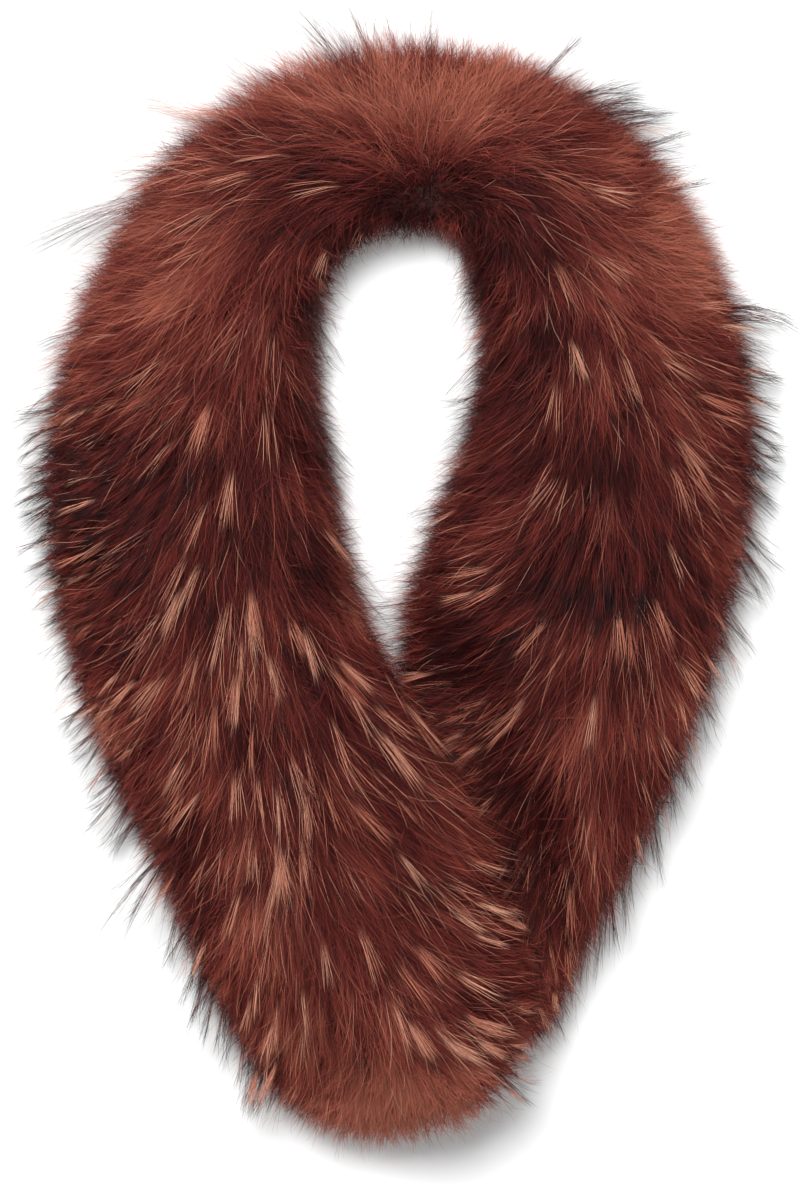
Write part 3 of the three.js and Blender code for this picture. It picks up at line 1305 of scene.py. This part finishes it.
        shade = self._named("shade", "FLOAT")
        tone = self._named("tone", "FLOAT") + shade + self._given("Tone")
        tone = board.add("ShaderNodeClamp", None, tone, 0.0, 1.0)
        spread = self._random(0.0, 1.0, seed + self.BAND_DRAW)
        kind = shade * self.KIND_SHADE + spread * self.KIND_DRAW + self.KIND_LEAST
        kind = board.add("ShaderNodeClamp", None, kind, 0.0, 1.0)
        is_pale, is_black = self._kinds()
        rust = within(self.finish.rust_band, tone)
        marked = board.mix(rust, within(self.finish.pale_band, kind), is_pale)
        return board.mix(marked, within(self.finish.black_band, spread), is_black)

    def _finish(self, fur: Wire) -> Wire:
        """Bends each strand along its own curve, maps it and gives it the finish.

        Args:
            fur: Straight strands at their roots, realized.

        Returns:
            The finished mesh.
        """
        board = self.board
        along, beside = self._named("along", "FLOAT"), self._named("beside", "FLOAT")
        bend, tip, out = self._named("bend"), self._named("tip"), self._named("out")
        back = 1 - along
        path = bend * (2 * along * back) + tip * (along * along)
        heading = board.vector("NORMALIZE", bend * (back * 2 - along * 2) + tip * (along * 2))
        side = board.vector("NORMALIZE", board.vector("CROSS_PRODUCT", heading, out))
        lean = board.vector("CROSS_PRODUCT", side, heading)
        roll = self._named("roll", "FLOAT")
        cosine, sine = (board.add("ShaderNodeMath", {"operation": operation}, roll)
                        for operation in ("COSINE", "SINE"))
        wide = self._given("Width") * self._named("wide", "FLOAT") * beside
        across = (side * cosine + lean * sine) * wide
        place = self._named("root") + path + across
        place = board.vector("MAXIMUM", place, self.LOWEST)
        fur = board.add("GeometryNodeSetPosition", None, fur, Position=place)
        on_map = self._named("map_at", "FLOAT") + self._named("edge", "FLOAT") * self.MAP_WIDTH
        place = board.add("ShaderNodeCombineXYZ", None, on_map, along)
        fur = self._store(fur, "FLOAT2", "CORNER", **{BAKE_MAP: place})
        fur = board.add("GeometryNodeSetShadeSmooth", None, fur)
        return board.add("GeometryNodeSetMaterial", None, fur, Material=self._given("Hair"))

    def grow(self, name: str, roots: bpy.types.Object, strand: bpy.types.Object,
             hair: bpy.types.Material, coat: Coat, area: float) -> bpy.types.Object:
        """Grows a coat and gives it as a plain mesh.

        Args:
            name: The piece's name.
            roots: The surface that the hair grows from.
            strand: A straight strand.
            hair: The hair's material.
            coat: The layer's sizes.
            area: Covered area of the roots, square metres.

        Returns:
            The piece.
        """
        values = {
            "Strand": strand, "Hair": hair, "Seed": coat.seed,
            "Strands per area": coat.strands / area,
            "Width": coat.width * MM,
            "Shortest": coat.length[0], "Longest": coat.length[1],
            "Lowest": coat.height[0], "Highest": coat.height[1],
            "Uneven": coat.uneven, "Stray": math.radians(coat.stray), "Roll": coat.roll,
            "Bend to wisp": coat.to_wisp[0], "Tip to wisp": coat.to_wisp[1], "Fray": coat.fray,
            "Bend to lock": coat.to_lock[0], "Tip to lock": coat.to_lock[1],
            "Root to wisp": coat.root_to_wisp, "Wisps apart": coat.wisps_apart * MM,
            "Lift": coat.lift * MM,
            "Frizz": coat.frizz * MM, "Pale": coat.pale, "Black": coat.black,
            "Variety": coat.variety, "Tone": coat.tone, "Guard": float(coat.guard),
        }
        modifier = roots.modifiers.new("fur", "NODES")
        modifier.node_group = self.group
        values = {**self.INPUTS, **values}
        for socket in self.group.interface.items_tree:
            if socket.in_out == "INPUT" and socket.name in values:
                modifier[socket.identifier] = values[socket.name]
        roots.update_tag()
        bpy.context.view_layer.update()
        grown = roots.evaluated_get(bpy.context.evaluated_depsgraph_get())
        mesh = bpy.data.meshes.new_from_object(grown)
        roots.modifiers.remove(modifier)
        spare = [layer.name for layer in mesh.attributes
                 if layer.name not in (BAKE_MAP, "position") and not layer.name.startswith(".")]
        for spare_name in spare:
            mesh.attributes.remove(mesh.attributes[spare_name])
        mesh.name = name
        return show(name, mesh)


def show(name: str, mesh: bpy.types.Mesh) -> bpy.types.Object:
    """Puts a mesh in the scene.

    Args:
        name: The object's name.
        mesh: Its mesh.

    Returns:
        The object.
    """
    piece = bpy.data.objects.new(name, mesh)
    bpy.context.scene.collection.objects.link(piece)
    return piece


def mesh_of(name: str, places: np.ndarray, faces: list) -> bpy.types.Mesh:
    """Makes a smooth-shaded mesh.

    Args:
        name: The mesh's name.
        places: Its corners, metres, one to a row.
        faces: Tuples of corner numbers.

    Returns:
        The mesh.
    """
    mesh = bpy.data.meshes.new(name)
    mesh.from_pydata(places.tolist(), [], faces)
    mesh.shade_smooth()
    mesh.validate()
    return mesh


def ring_faces(rings: int, count: int, closed: bool) -> list[tuple[int, ...]]:
    """Quads between rings of equal length.

    Args:
        rings: How many rings there are.
        count: Places in each.
        closed: Whether the last place of a ring joins its first.

    Returns:
        Faces as tuples of place numbers.
    """
    faces = []
    for ring in range(rings - 1):
        for spot in range(count if closed else count - 1):
            a, b = ring * count + spot, ring * count + (spot + 1) % count
            faces.append((a, b, b + count, a + count))
    return faces


# A strand's width along it, as shares of its length and of its greatest width.
TAPER_AT = (0, 0.3, 0.75, 1)
TAPER = (0.75, 1, 0.85, 0)


def strand_mesh(pieces: int, hair: bpy.types.Material) -> bpy.types.Object:
    """A straight ribbon that narrows to a point, with its own coordinates as attributes.

    Args:
        pieces: How many faces it has along its length.
        hair: Its material.

    Returns:
        An object to be grown and then removed.
    """
    shares = np.linspace(0, 1, pieces + 1)
    taper = np.interp(shares, TAPER_AT, TAPER)
    rows = [(side * 0.5, share, width) for share, width in zip(shares[:-1], taper)
            for side in (-1, 1)]
    rows.append((0.0, 1.0, 0.0))
    faces = [(2 * n, 2 * n + 1, 2 * n + 3, 2 * n + 2) for n in range(pieces - 1)]
    faces.append((2 * pieces - 2, 2 * pieces - 1, 2 * pieces))
    places = np.array([(side * width * MM, share * MM, 0) for side, share, width in rows])
    mesh = mesh_of("strand", places, faces)
    mesh.materials.append(hair)
    for name, values in (("along", [row[1] for row in rows]),
                         ("beside", [row[0] * row[2] for row in rows]),
                         ("edge", [row[0] + 0.5 for row in rows])):
        mesh.attributes.new(name, "FLOAT", "POINT").data.foreach_set("value", values)
    return show("strand", mesh)


@dataclass(frozen=True)
class Fringe:
    """How far the hair at both edges passes the pile, millimetres, at distances along."""

    along: tuple[float, ...]
    inner: tuple[float, ...]
    outer: tuple[float, ...]

    def beyond(self, along: np.ndarray, away: np.ndarray) -> np.ndarray:
        """The hair's reach past the edge of the pile.

        Args:
            along: Distances along the parting.
            away: Distances from it, positive to the shoulder.

        Returns:
            Millimetres past the edge.
        """
        return np.where(away > 0, np.interp(along, self.along, self.outer),
                        np.interp(along, self.along, self.inner))


LEFT_FRINGE = Fringe(along=(0, 45, 90, 125, 150, 190, 228, 262, 300, 370, 415),
                     inner=(1, 2, 12, 14, 14.5, 8, 8.5, 13, 16, 14, 1),
                     outer=(13, 19, 12, 10.5, 6.5, 1, 0, -0.5, -0.5, -1, -3))
RIGHT_FRINGE = Fringe(along=(0, 45, 90, 130, 180, 225, 262, 320),
                      inner=(2, 5, 11, 15, 12, 10, 14, 6),
                      outer=(10, 5, 7, 1.5, -0.5, -3.5, -4, -5))


@dataclass(frozen=True)
class Shading:
    """How much the patches, the rim and the mottling change the hair of the coat.

    tone is the place of rust hair between dark and light, gather how closely hairs follow their
    wisps, loose how far they stray, pale and black the shares of marked hairs, and spare the
    length added to guard hairs. Other names join what makes a change and what it changes; a loss
    takes from the pale hairs, or under the other strip from all hairs.
    """

    tone: float = 0.27
    light_tone: float = 0.48
    dark_tone: float = 0.34
    rim_tone: float = 0.08
    # Painted shade: noise darkens the tone in spots, standing for clefts where the fur parts.
    shaded_cleft_tone: float = 0.28
    shaded_cleft_wave: float = 13.0
    shaded_cleft_seed: int = 7
    shaded_cleft_edge: tuple[float, float] = (0.9, 1.7)
    mottle_tone: float = 0.14
    mottle_waves: tuple[float, float] = (30.0, 10.0)
    mottle_seeds: tuple[int, int] = (5, 6)
    soft_mottle: float = 0.5
    soft_gather: float = 0.6
    gather: float = 0.85
    rim_gather: float = 0.3
    soft_loose: float = 0.7
    pale: float = 0.17
    patch_pale: float = 0.38
    pale_loss: float = 0.75
    dark_loss: float = 0.8
    black_loss: float = 0.3
    black: float = 0.12
    patch_black: float = 0.62
    dark_black: float = 0.14
    soft_black: float = 0.06
    long_black: float = 0.4
    outer_spare: float = 0.45
    inner_spare: float = 0.2
    long_spare: float = 0.7
    hidden_loss: float = 0.9
    hidden_edge: tuple[float, float] = (32.0, 50.0)

    def numbers(self, shown: np.ndarray, rim: np.ndarray, outer: np.ndarray,
                hidden: np.ndarray | None) -> dict[str, np.ndarray]:
        """Works out what the hair tree reads at each root.

        Args:
            shown: Places where the roots' hair shows, one to a row.
            rim: How near the roots are to the rim, 0 to 1.
            outer: Whether they lie on the shoulder side.
            hidden: How deep they lie under the other strip, millimetres; none if on top.

        Returns:
            Numbers by attribute name.
        """
        light, soft, dark, black, pale, long = (
            np.max([patch.share(shown) for patch in PATCHES[shade]], axis=0)
            for shade in (Shade.LIGHT, Shade.SOFT, Shade.DARK, Shade.BLACK, Shade.PALE,
                          Shade.LONG))
        tone = self.tone + self.light_tone * light - self.dark_tone * dark + self.rim_tone * rim
        # Painted shade in clefts that the noise places over the coat.
        shaded_clefts = mottle(shown, self.shaded_cleft_wave, self.shaded_cleft_seed)
        tone = tone - self.shaded_cleft_tone * ease(shaded_clefts, *self.shaded_cleft_edge)
        patchy = sum(self.mottle_tone * mottle(shown, wave, seed)
                     for wave, seed in zip(self.mottle_waves, self.mottle_seeds))
        cover = np.ones(len(shown))
        if hidden is not None:
            cover = 1 - self.hidden_loss * ease(hidden, *self.hidden_edge) * (1 - rim)
        loss = np.clip(soft + self.dark_loss * dark + self.black_loss * black, 0, 1)
        return {
            "tone": tone + patchy * (1 - self.soft_mottle * soft),
            "gather": (1 - self.soft_gather * soft) * (self.gather + self.rim_gather * rim),
            "loose": 1 + self.soft_loose * soft,
            "pale": (self.pale + self.patch_pale * pale) * (1 - self.pale_loss * loss),
            "black": (self.black + self.patch_black * black + self.dark_black * dark
                      - self.soft_black * soft + self.long_black * long),
            "cover": cover,
            "spare": (rim * np.where(outer, self.outer_spare, self.inner_spare)
                      + self.long_spare * long),
        }


@dataclass(frozen=True)
class Pelt:
    """One strip of pelt: its skin, the matted down on it and its coats of hair.

    inset is how far the down's edge lies inside the pile's, down_depth how far its crown lies
    under the pile's and skin_tuck how far the skin's edge lies inside the down's. shown_at is how
    far along a hair its patch is read. The hair's run turns from parting_turn at the parting to
    the section's turns at the edges, and fans out at the seam and round the end. under_turn is
    how far the roots go on under the edges and under_angles are the down's own angles there, in
    degrees; underside is the least height of the down. Names with least or farthest are limits.
    """

    side: Side
    node: str
    cut_width: float
    cut_length: float
    share_of_hair: float
    fringe: Fringe
    inset: float = 17.0
    down_depth: float = 12.0
    skin_tuck: float = 12.0
    skin_thickness: float = 1.5
    ring_pitch: float = 5.0
    end_rings: int = 12
    arch_steps: int = 26
    under_turn: float = 38.0
    shown_at: float = 0.65
    end_fullness: float = 0.8
    underside: float = 2.2
    down_steps: int = 24
    under_angles: tuple[float, ...] = (205, 230, 258)
    skin_steps: int = 10
    parting_turn: float = 9.0
    parting_width: float = 9.0
    turned_at: float = 0.8
    seam_fan: float = 0.85
    seam_fan_length: float = 48.0
    end_fan: float = 0.9
    end_fan_share: float = 0.7
    least_facing: float = 0.35
    rim_from: float = 0.35
    rim_shade_from: float = 0.6
    farthest_share: float = 1.05
    least_level: float = 0.25
    least_rise: float = 2.5

    @cached_property
    def rings(self) -> tuple[np.ndarray, np.ndarray]:
        """Distances along the parting of every section, and how full each is at the end."""
        strip = self.side.strip
        body = np.linspace(0, strip.length, int(strip.length / self.ring_pitch))
        angles = np.linspace(0, math.pi / 2, self.end_rings + 1)[1:-1]
        reach = strip.end_reach - self.inset
        along = np.concatenate([body, strip.length + reach * np.sin(angles)])
        return along, np.concatenate([np.ones(len(body)), np.cos(angles)])

    @staticmethod
    def _reach(size: np.ndarray, side: np.ndarray) -> np.ndarray:
        """The pile's reach at each ring, to the shoulder where side is above 0."""
        return np.where(side > 0, size[:, Size.OUTER, None], size[:, Size.INNER, None])

    def _core(self, angles: np.ndarray) -> tuple[np.ndarray, np.ndarray, np.ndarray]:
        """The down's surface at angles round each section, 0 at the shoulder edge.

        Args:
            angles: Angles in radians; below 0 and past a half turn they go under the edges.

        Returns:
            Distances along and away from the parting, and heights, each ring by angle.
        """
        along, full = self.rings
        size = self.side.strip.size(along)
        turn = np.cos(angles)[None]
        reach = taken_in(self._reach(size, turn), self.inset)
        away = turn * reach * full[:, None]
        crown = size[:, Size.CROWN, None] - self.down_depth
        rise = np.clip(np.sin(angles), 0, 1)[None] ** (2 * ARCH_POWER)
        sink = np.clip(-np.sin(angles), 0, 1)[None]
        low = BELLY - 1
        fullness = full[:, None] ** self.end_fullness
        up = low + (crown - low) * rise * fullness - (low - self.underside) * sink
        return np.broadcast_to(along[:, None], away.shape), away, up

    def _settled(self, along: np.ndarray, away: np.ndarray, up: np.ndarray) -> np.ndarray:
        """Turns strip coordinates into places in the scene, laid at the crossing.

        Args:
            along: Distances along the parting.
            away: Distances from it.
            up: Heights over the strip's own underside.

        Returns:
            Places, metres, one to a row.
        """
        spots = self.side.strip.place(along.ravel(), away.ravel())
        return to_scene(spots, self.side.settle(spots, up.ravel()))

    def _mesh(self, kind: str, places: np.ndarray, faces: list) -> bpy.types.Mesh:
        """Makes a mesh of this strip.

        Args:
            kind: What it is of, for its name.
            places: Its corners, metres.
            faces: Its faces, outward on the right strip; the left one's are turned over.

        Returns:
            The mesh.
        """
        if self.side is Side.LEFT:
            faces = [face[::-1] for face in faces]
        return mesh_of(f"{kind}_{self.side.value}", places, faces)

    def _flow(self, along: np.ndarray, away: np.ndarray) -> tuple[np.ndarray, np.ndarray]:
        """The way that the hair lies at each root.

        Args:
            along: Distances along the parting.
            away: Distances away from it.

        Returns:
            How far the hair's tip lies ahead along the parting and away from it, millimetres.
        """
        strip = self.side.strip
        size = strip.size(along)
        hair = size[:, Size.HAIR]
        share = np.clip(strip.edge_share(along, away, self.inset), 0, self.farthest_share)
        edge_turn = np.where(away > 0, size[:, Size.TURN_OUT], size[:, Size.TURN_IN])
        edge_turn = np.radians(edge_turn)
        parting = np.radians(self.parting_turn)
        at_seam = 1 - ease(along, 0, self.seam_fan_length)
        parting_turn = parting + (edge_turn - parting) * at_seam * self.seam_fan
        turn = parting_turn + (edge_turn - parting_turn) * ease(share, 0, self.turned_at)
        past = np.maximum(along - strip.length, 0)
        fan = np.arctan2(np.abs(away), past + TINY)
        end_reach = strip.end_reach - self.inset
        turn = turn + (fan - turn) * ease(past, 0, self.end_fan_share * end_reach) * self.end_fan
        reach = np.where(away > 0, size[:, Size.OUTER], size[:, Size.INNER])
        ring = np.minimum(self.inset, reach / 2)
        facing = np.where(past > 0, np.cos(turn - fan), np.sin(turn))
        to_edge = (ring + self.fringe.beyond(along, away)) / np.clip(facing, self.least_facing, 1)
        length = hair + (np.minimum(to_edge, hair) - hair) * ease(share, self.rim_from, 1)
        aside = np.sin(turn) * np.tanh(away / self.parting_width)
        return np.cos(turn) * length, aside * length

    def roots(self) -> tuple[bpy.types.Object, float]:
        """Makes the surface that the hair grows from, with how it lies there as attributes.

        Returns:
            The surface and its covered area in square metres.
        """
        under = math.radians(self.under_turn)
        angles = np.linspace(-under, math.pi + under, self.arch_steps + 1)
        along, away, up = (values.ravel() for values in self._core(angles))
        places = self._settled(along, away, up)
        strip = self.side.strip
        spots = strip.place(along, away)
        ahead, aside = self._flow(along, away)
        full_up = strip.height(along, away)
        level = (up + 1) / np.maximum(full_up - self.down_depth, BELLY)
        level = np.clip(level, self.least_level, 1)
        fields = {}
        for name, share in (("middle", 0.5), ("tip", 1.0)):
            to_along, to_away = along + ahead * share, away + aside * share
            height = strip.height(to_along, to_away) * level
            target = self._settled(to_along, to_away, np.maximum(height, self.least_rise))
            if self.side is Side.LEFT:
                over = over_right(strip.place(to_along, to_away)) * MM
                target[:, 2] = np.maximum(target[:, 2], over)
            fields[name] = target - places
        # The bend is the control point of a curve through the middle.
        fields["bend"] = 2 * fields.pop("middle") - 0.5 * fields["tip"]

        # A patch is placed where its hair shows, which is well past its roots.
        shown = strip.place(along + ahead * self.shown_at, away + aside * self.shown_at)
        rim = ease(strip.edge_share(along, away, self.inset), self.rim_shade_from, 1)
        hidden = None
        if self.side is Side.RIGHT:
            hidden = front_only(spots, LEFT_STRIP.depth_inside(spots), PRESS_FROM)
        numbers = Shading().numbers(shown, rim, away > 0, hidden)
        mesh = self._mesh("roots", places,
                          ring_faces(len(self.rings[0]), self.arch_steps + 1, False))
        for kind, key, values in (("FLOAT_VECTOR", "vector", fields),
                                  ("FLOAT", "value", numbers)):
            for name, value in values.items():
                data = mesh.attributes.new(name, kind, "POINT").data
                data.foreach_set(key, value.ravel().astype(np.float32))
        cover = numbers["cover"]
        area = sum(face.area * cover[list(face.vertices)].mean() for face in mesh.polygons)
        return show(mesh.name, mesh), area

    def down(self, finish: DownFinish) -> bpy.types.Object:
        """Makes the closed mass of matted down that stands for the strip's solid.

        Args:
            finish: Its finish.

        Returns:
            The piece.
        """
        top = np.linspace(0, math.pi, self.down_steps + 1)
        under = np.radians(self.under_angles)
        angles = np.concatenate([top, under, 3 * math.pi - under[::-1]])
        along, away, up = self._core(angles)
        places = self._settled(along, away, np.maximum(up, self.underside))
        rings, count = away.shape
        faces = ring_faces(rings, count, True)
        faces.append(tuple(range(count))[::-1])
        faces.append(tuple((rings - 1) * count + n for n in range(count)))
        mesh = self._mesh("down", places, faces)
        mesh.materials.append(finish.make())
        return show(mesh.name, mesh)

    def skin(self, finish: SkinFinish) -> bpy.types.Object:
        """Makes the strip's leather, a thin closed sheet flat on what it lies on.

        Args:
            finish: Its finish.

        Returns:
            The piece.
        """
        along, full = self.rings
        shares = np.linspace(-1, 1, self.skin_steps + 1)
        strip = self.side.strip
        past = np.maximum(along - strip.length, 0)
        along = along - past * self.skin_tuck / (strip.end_reach - self.inset)
        size = strip.size(along)
        reach = taken_in(self._reach(size, shares[None]), self.inset)
        away = shares[None] * taken_in(reach, self.skin_tuck) * full[:, None]
        far = np.broadcast_to(along[:, None], away.shape)
        layers = []
        for up in (0.0, self.skin_thickness):
            layers.append(self._settled(far, away, np.full(away.shape, up)))
        rings, count = away.shape
        total = rings * count
        bottom = ring_faces(rings, count, False)
        faces = bottom + [tuple(n + total for n in face[::-1]) for face in bottom]
        rim = [n * count for n in range(rings)]
        rim += [(rings - 1) * count + n for n in range(1, count)]
        rim += [n * count + count - 1 for n in range(rings - 2, -1, -1)]
        rim += list(range(count - 2, 0, -1))
        for a, b in zip(rim, rim[1:] + rim[:1]):
            faces.append((a, b, b + total, a + total))
        mesh = self._mesh("skin", np.vstack(layers), faces)
        mesh.materials.append(finish.make())
        return show(mesh.name, mesh)


COATS = (
    Coat("down_hair", strands=110000, pieces=2, width=0.42, length=(0.4, 0.72),
         height=(0.5, 1.3), uneven=0.12, stray=50, wisps_apart=3.2, to_wisp=(0.1, 0.15), fray=0.0,
         to_lock=(0.3, 0.5), root_to_wisp=0.0, lift=0.0, frizz=3.6, roll=0.3, guard=False,
         pale=0.0, black=0.0, variety=0.5, tone=-0.04, seed=100),
    Coat("coat_hair", strands=40000, pieces=3, width=0.2, length=(0.65, 0.98),
         height=(0.5, 1.1), uneven=0.15, stray=24, wisps_apart=4.0, to_wisp=(0.35, 0.55), fray=0.5,
         to_lock=(0.35, 0.6), root_to_wisp=0.15, lift=2.0, frizz=2.6, roll=0.5, guard=False,
         pale=0.3, black=0.5, variety=0.9, tone=0.02, seed=200),
    Coat("guard_hair", strands=66000, pieces=3, width=0.17, length=(0.88, 1.1),
         height=(1.0, 1.35), uneven=0.3, stray=14, wisps_apart=6.6, to_wisp=(0.82, 0.9), fray=0.45,
         to_lock=(0.15, 0.2), root_to_wisp=0.88, lift=8.0, frizz=1.8, roll=0.7, guard=True,
         pale=1.0, black=1.0, variety=1.1, tone=0.04, seed=300),
    Coat("stray_hair", strands=12000, pieces=4, width=0.12, length=(0.6, 1.2),
         height=(1.0, 1.5), uneven=0.15, stray=22, wisps_apart=9.0, to_wisp=(0.1, 0.1), fray=0.0,
         to_lock=(0.1, 0.1), root_to_wisp=0.0, lift=6.0, frizz=3.5, roll=0.6, guard=False,
         pale=1.6, black=1.0, variety=1.0, tone=0.3, seed=400),
)


@dataclass(frozen=True)
class Lamp:
    """A square area light that faces the collar, in metres and watts."""

    name: str
    place: tuple[float, float, float]
    size: float
    power: float

    def build(self) -> None:
        """Adds the light."""
        data = bpy.data.lights.new(self.name, "AREA")
        data.shape, data.size, data.energy = "SQUARE", self.size, self.power
        light = bpy.data.objects.new(self.name, data)
        light.location = self.place
        light.rotation_euler = (-Vector(self.place)).to_track_quat("-Z", "Y").to_euler()
        bpy.context.scene.collection.objects.link(light)


@dataclass(frozen=True)
class Studio:
    """The plain floor, the soft lights and the camera straight above, in metres."""

    distance: float = 2.6
    floor_size: float = 12.0
    floor_drop: float = 0.0006
    sky: float = 0.27
    lamps: tuple[Lamp, ...] = (Lamp("key", (-0.4, 1.05, 2.2), 1.1, 80.0),
                               Lamp("fill", (1.1, -0.9, 1.7), 1.6, 10.0))

    def build(self) -> None:
        """Puts up the floor, the lights and the camera."""
        half, up = self.floor_size / 2, -self.floor_drop
        places = np.array([(-half, -half, up), (half, -half, up), (half, half, up),
                           (-half, half, up)])
        floor = show("floor", mesh_of("floor", places, [(0, 1, 2, 3)]))
        floor.data.materials.append(FloorFinish().make())
        for lamp in self.lamps:
            lamp.build()
        world = bpy.data.worlds.new("studio")
        world.use_nodes = True
        sky = world.node_tree.nodes["Background"]
        sky.inputs["Color"].default_value = tint(1, 1, 1)
        sky.inputs["Strength"].default_value = self.sky
        bpy.context.scene.world = world
        bpy.context.scene.view_settings.view_transform = "Standard"
        self._camera()

    def _camera(self) -> None:
        """Adds the camera, which frames the photograph's own field."""
        data = bpy.data.cameras.new("overhead")
        data.sensor_fit = "AUTO"
        long_side = PHOTO_PIXELS[1] * PIXEL * MM
        data.lens = data.sensor_width * self.distance / long_side
        camera = bpy.data.objects.new("overhead", data)
        x, y = -FOOTPRINT_CENTRE * MM
        camera.location = (x, y, self.distance)
        bpy.context.scene.collection.objects.link(camera)
        bpy.context.scene.camera = camera


def main() -> None:
    """Builds the collar and its stage, and logs each piece's face count."""
    logging.basicConfig(level=logging.INFO, format="%(message)s")
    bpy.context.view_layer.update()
    finish = HairFinish()
    hair = finish.make()
    tree = FurTree(finish)
    strands = {pieces: strand_mesh(pieces, hair) for pieces in {coat.pieces for coat in COATS}}
    pelts = (Pelt(Side.LEFT, "pelt_left", cut_width=0.165, cut_length=0.53,
                  share_of_hair=0.56, fringe=LEFT_FRINGE),
             Pelt(Side.RIGHT, "pelt_right", cut_width=0.165, cut_length=0.50,
                  share_of_hair=0.44, fringe=RIGHT_FRINGE))
    for pelt in pelts:
        name = pelt.side.value
        roots, area = pelt.roots()
        pile = [pelt.down(DownFinish())]
        for coat in COATS:
            part = replace(coat, strands=round(coat.strands * pelt.share_of_hair))
            pile.append(tree.grow(f"{coat.name}_{name}", roots, strands[coat.pieces], hair,
                                  part, area))
        bpy.data.objects.remove(roots)
        skin = pelt.skin(SkinFinish())
        for piece in pile:
            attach(piece, ROOT)
            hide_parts(pelt.node)
            LOG.info("%s: %d faces", piece.name, len(piece.data.polygons))
        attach(skin, ROOT)
        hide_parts(pelt.node)
    for strand in strands.values():
        bpy.data.objects.remove(strand)
    Studio().build()


if __name__ == "__main__":
    main()
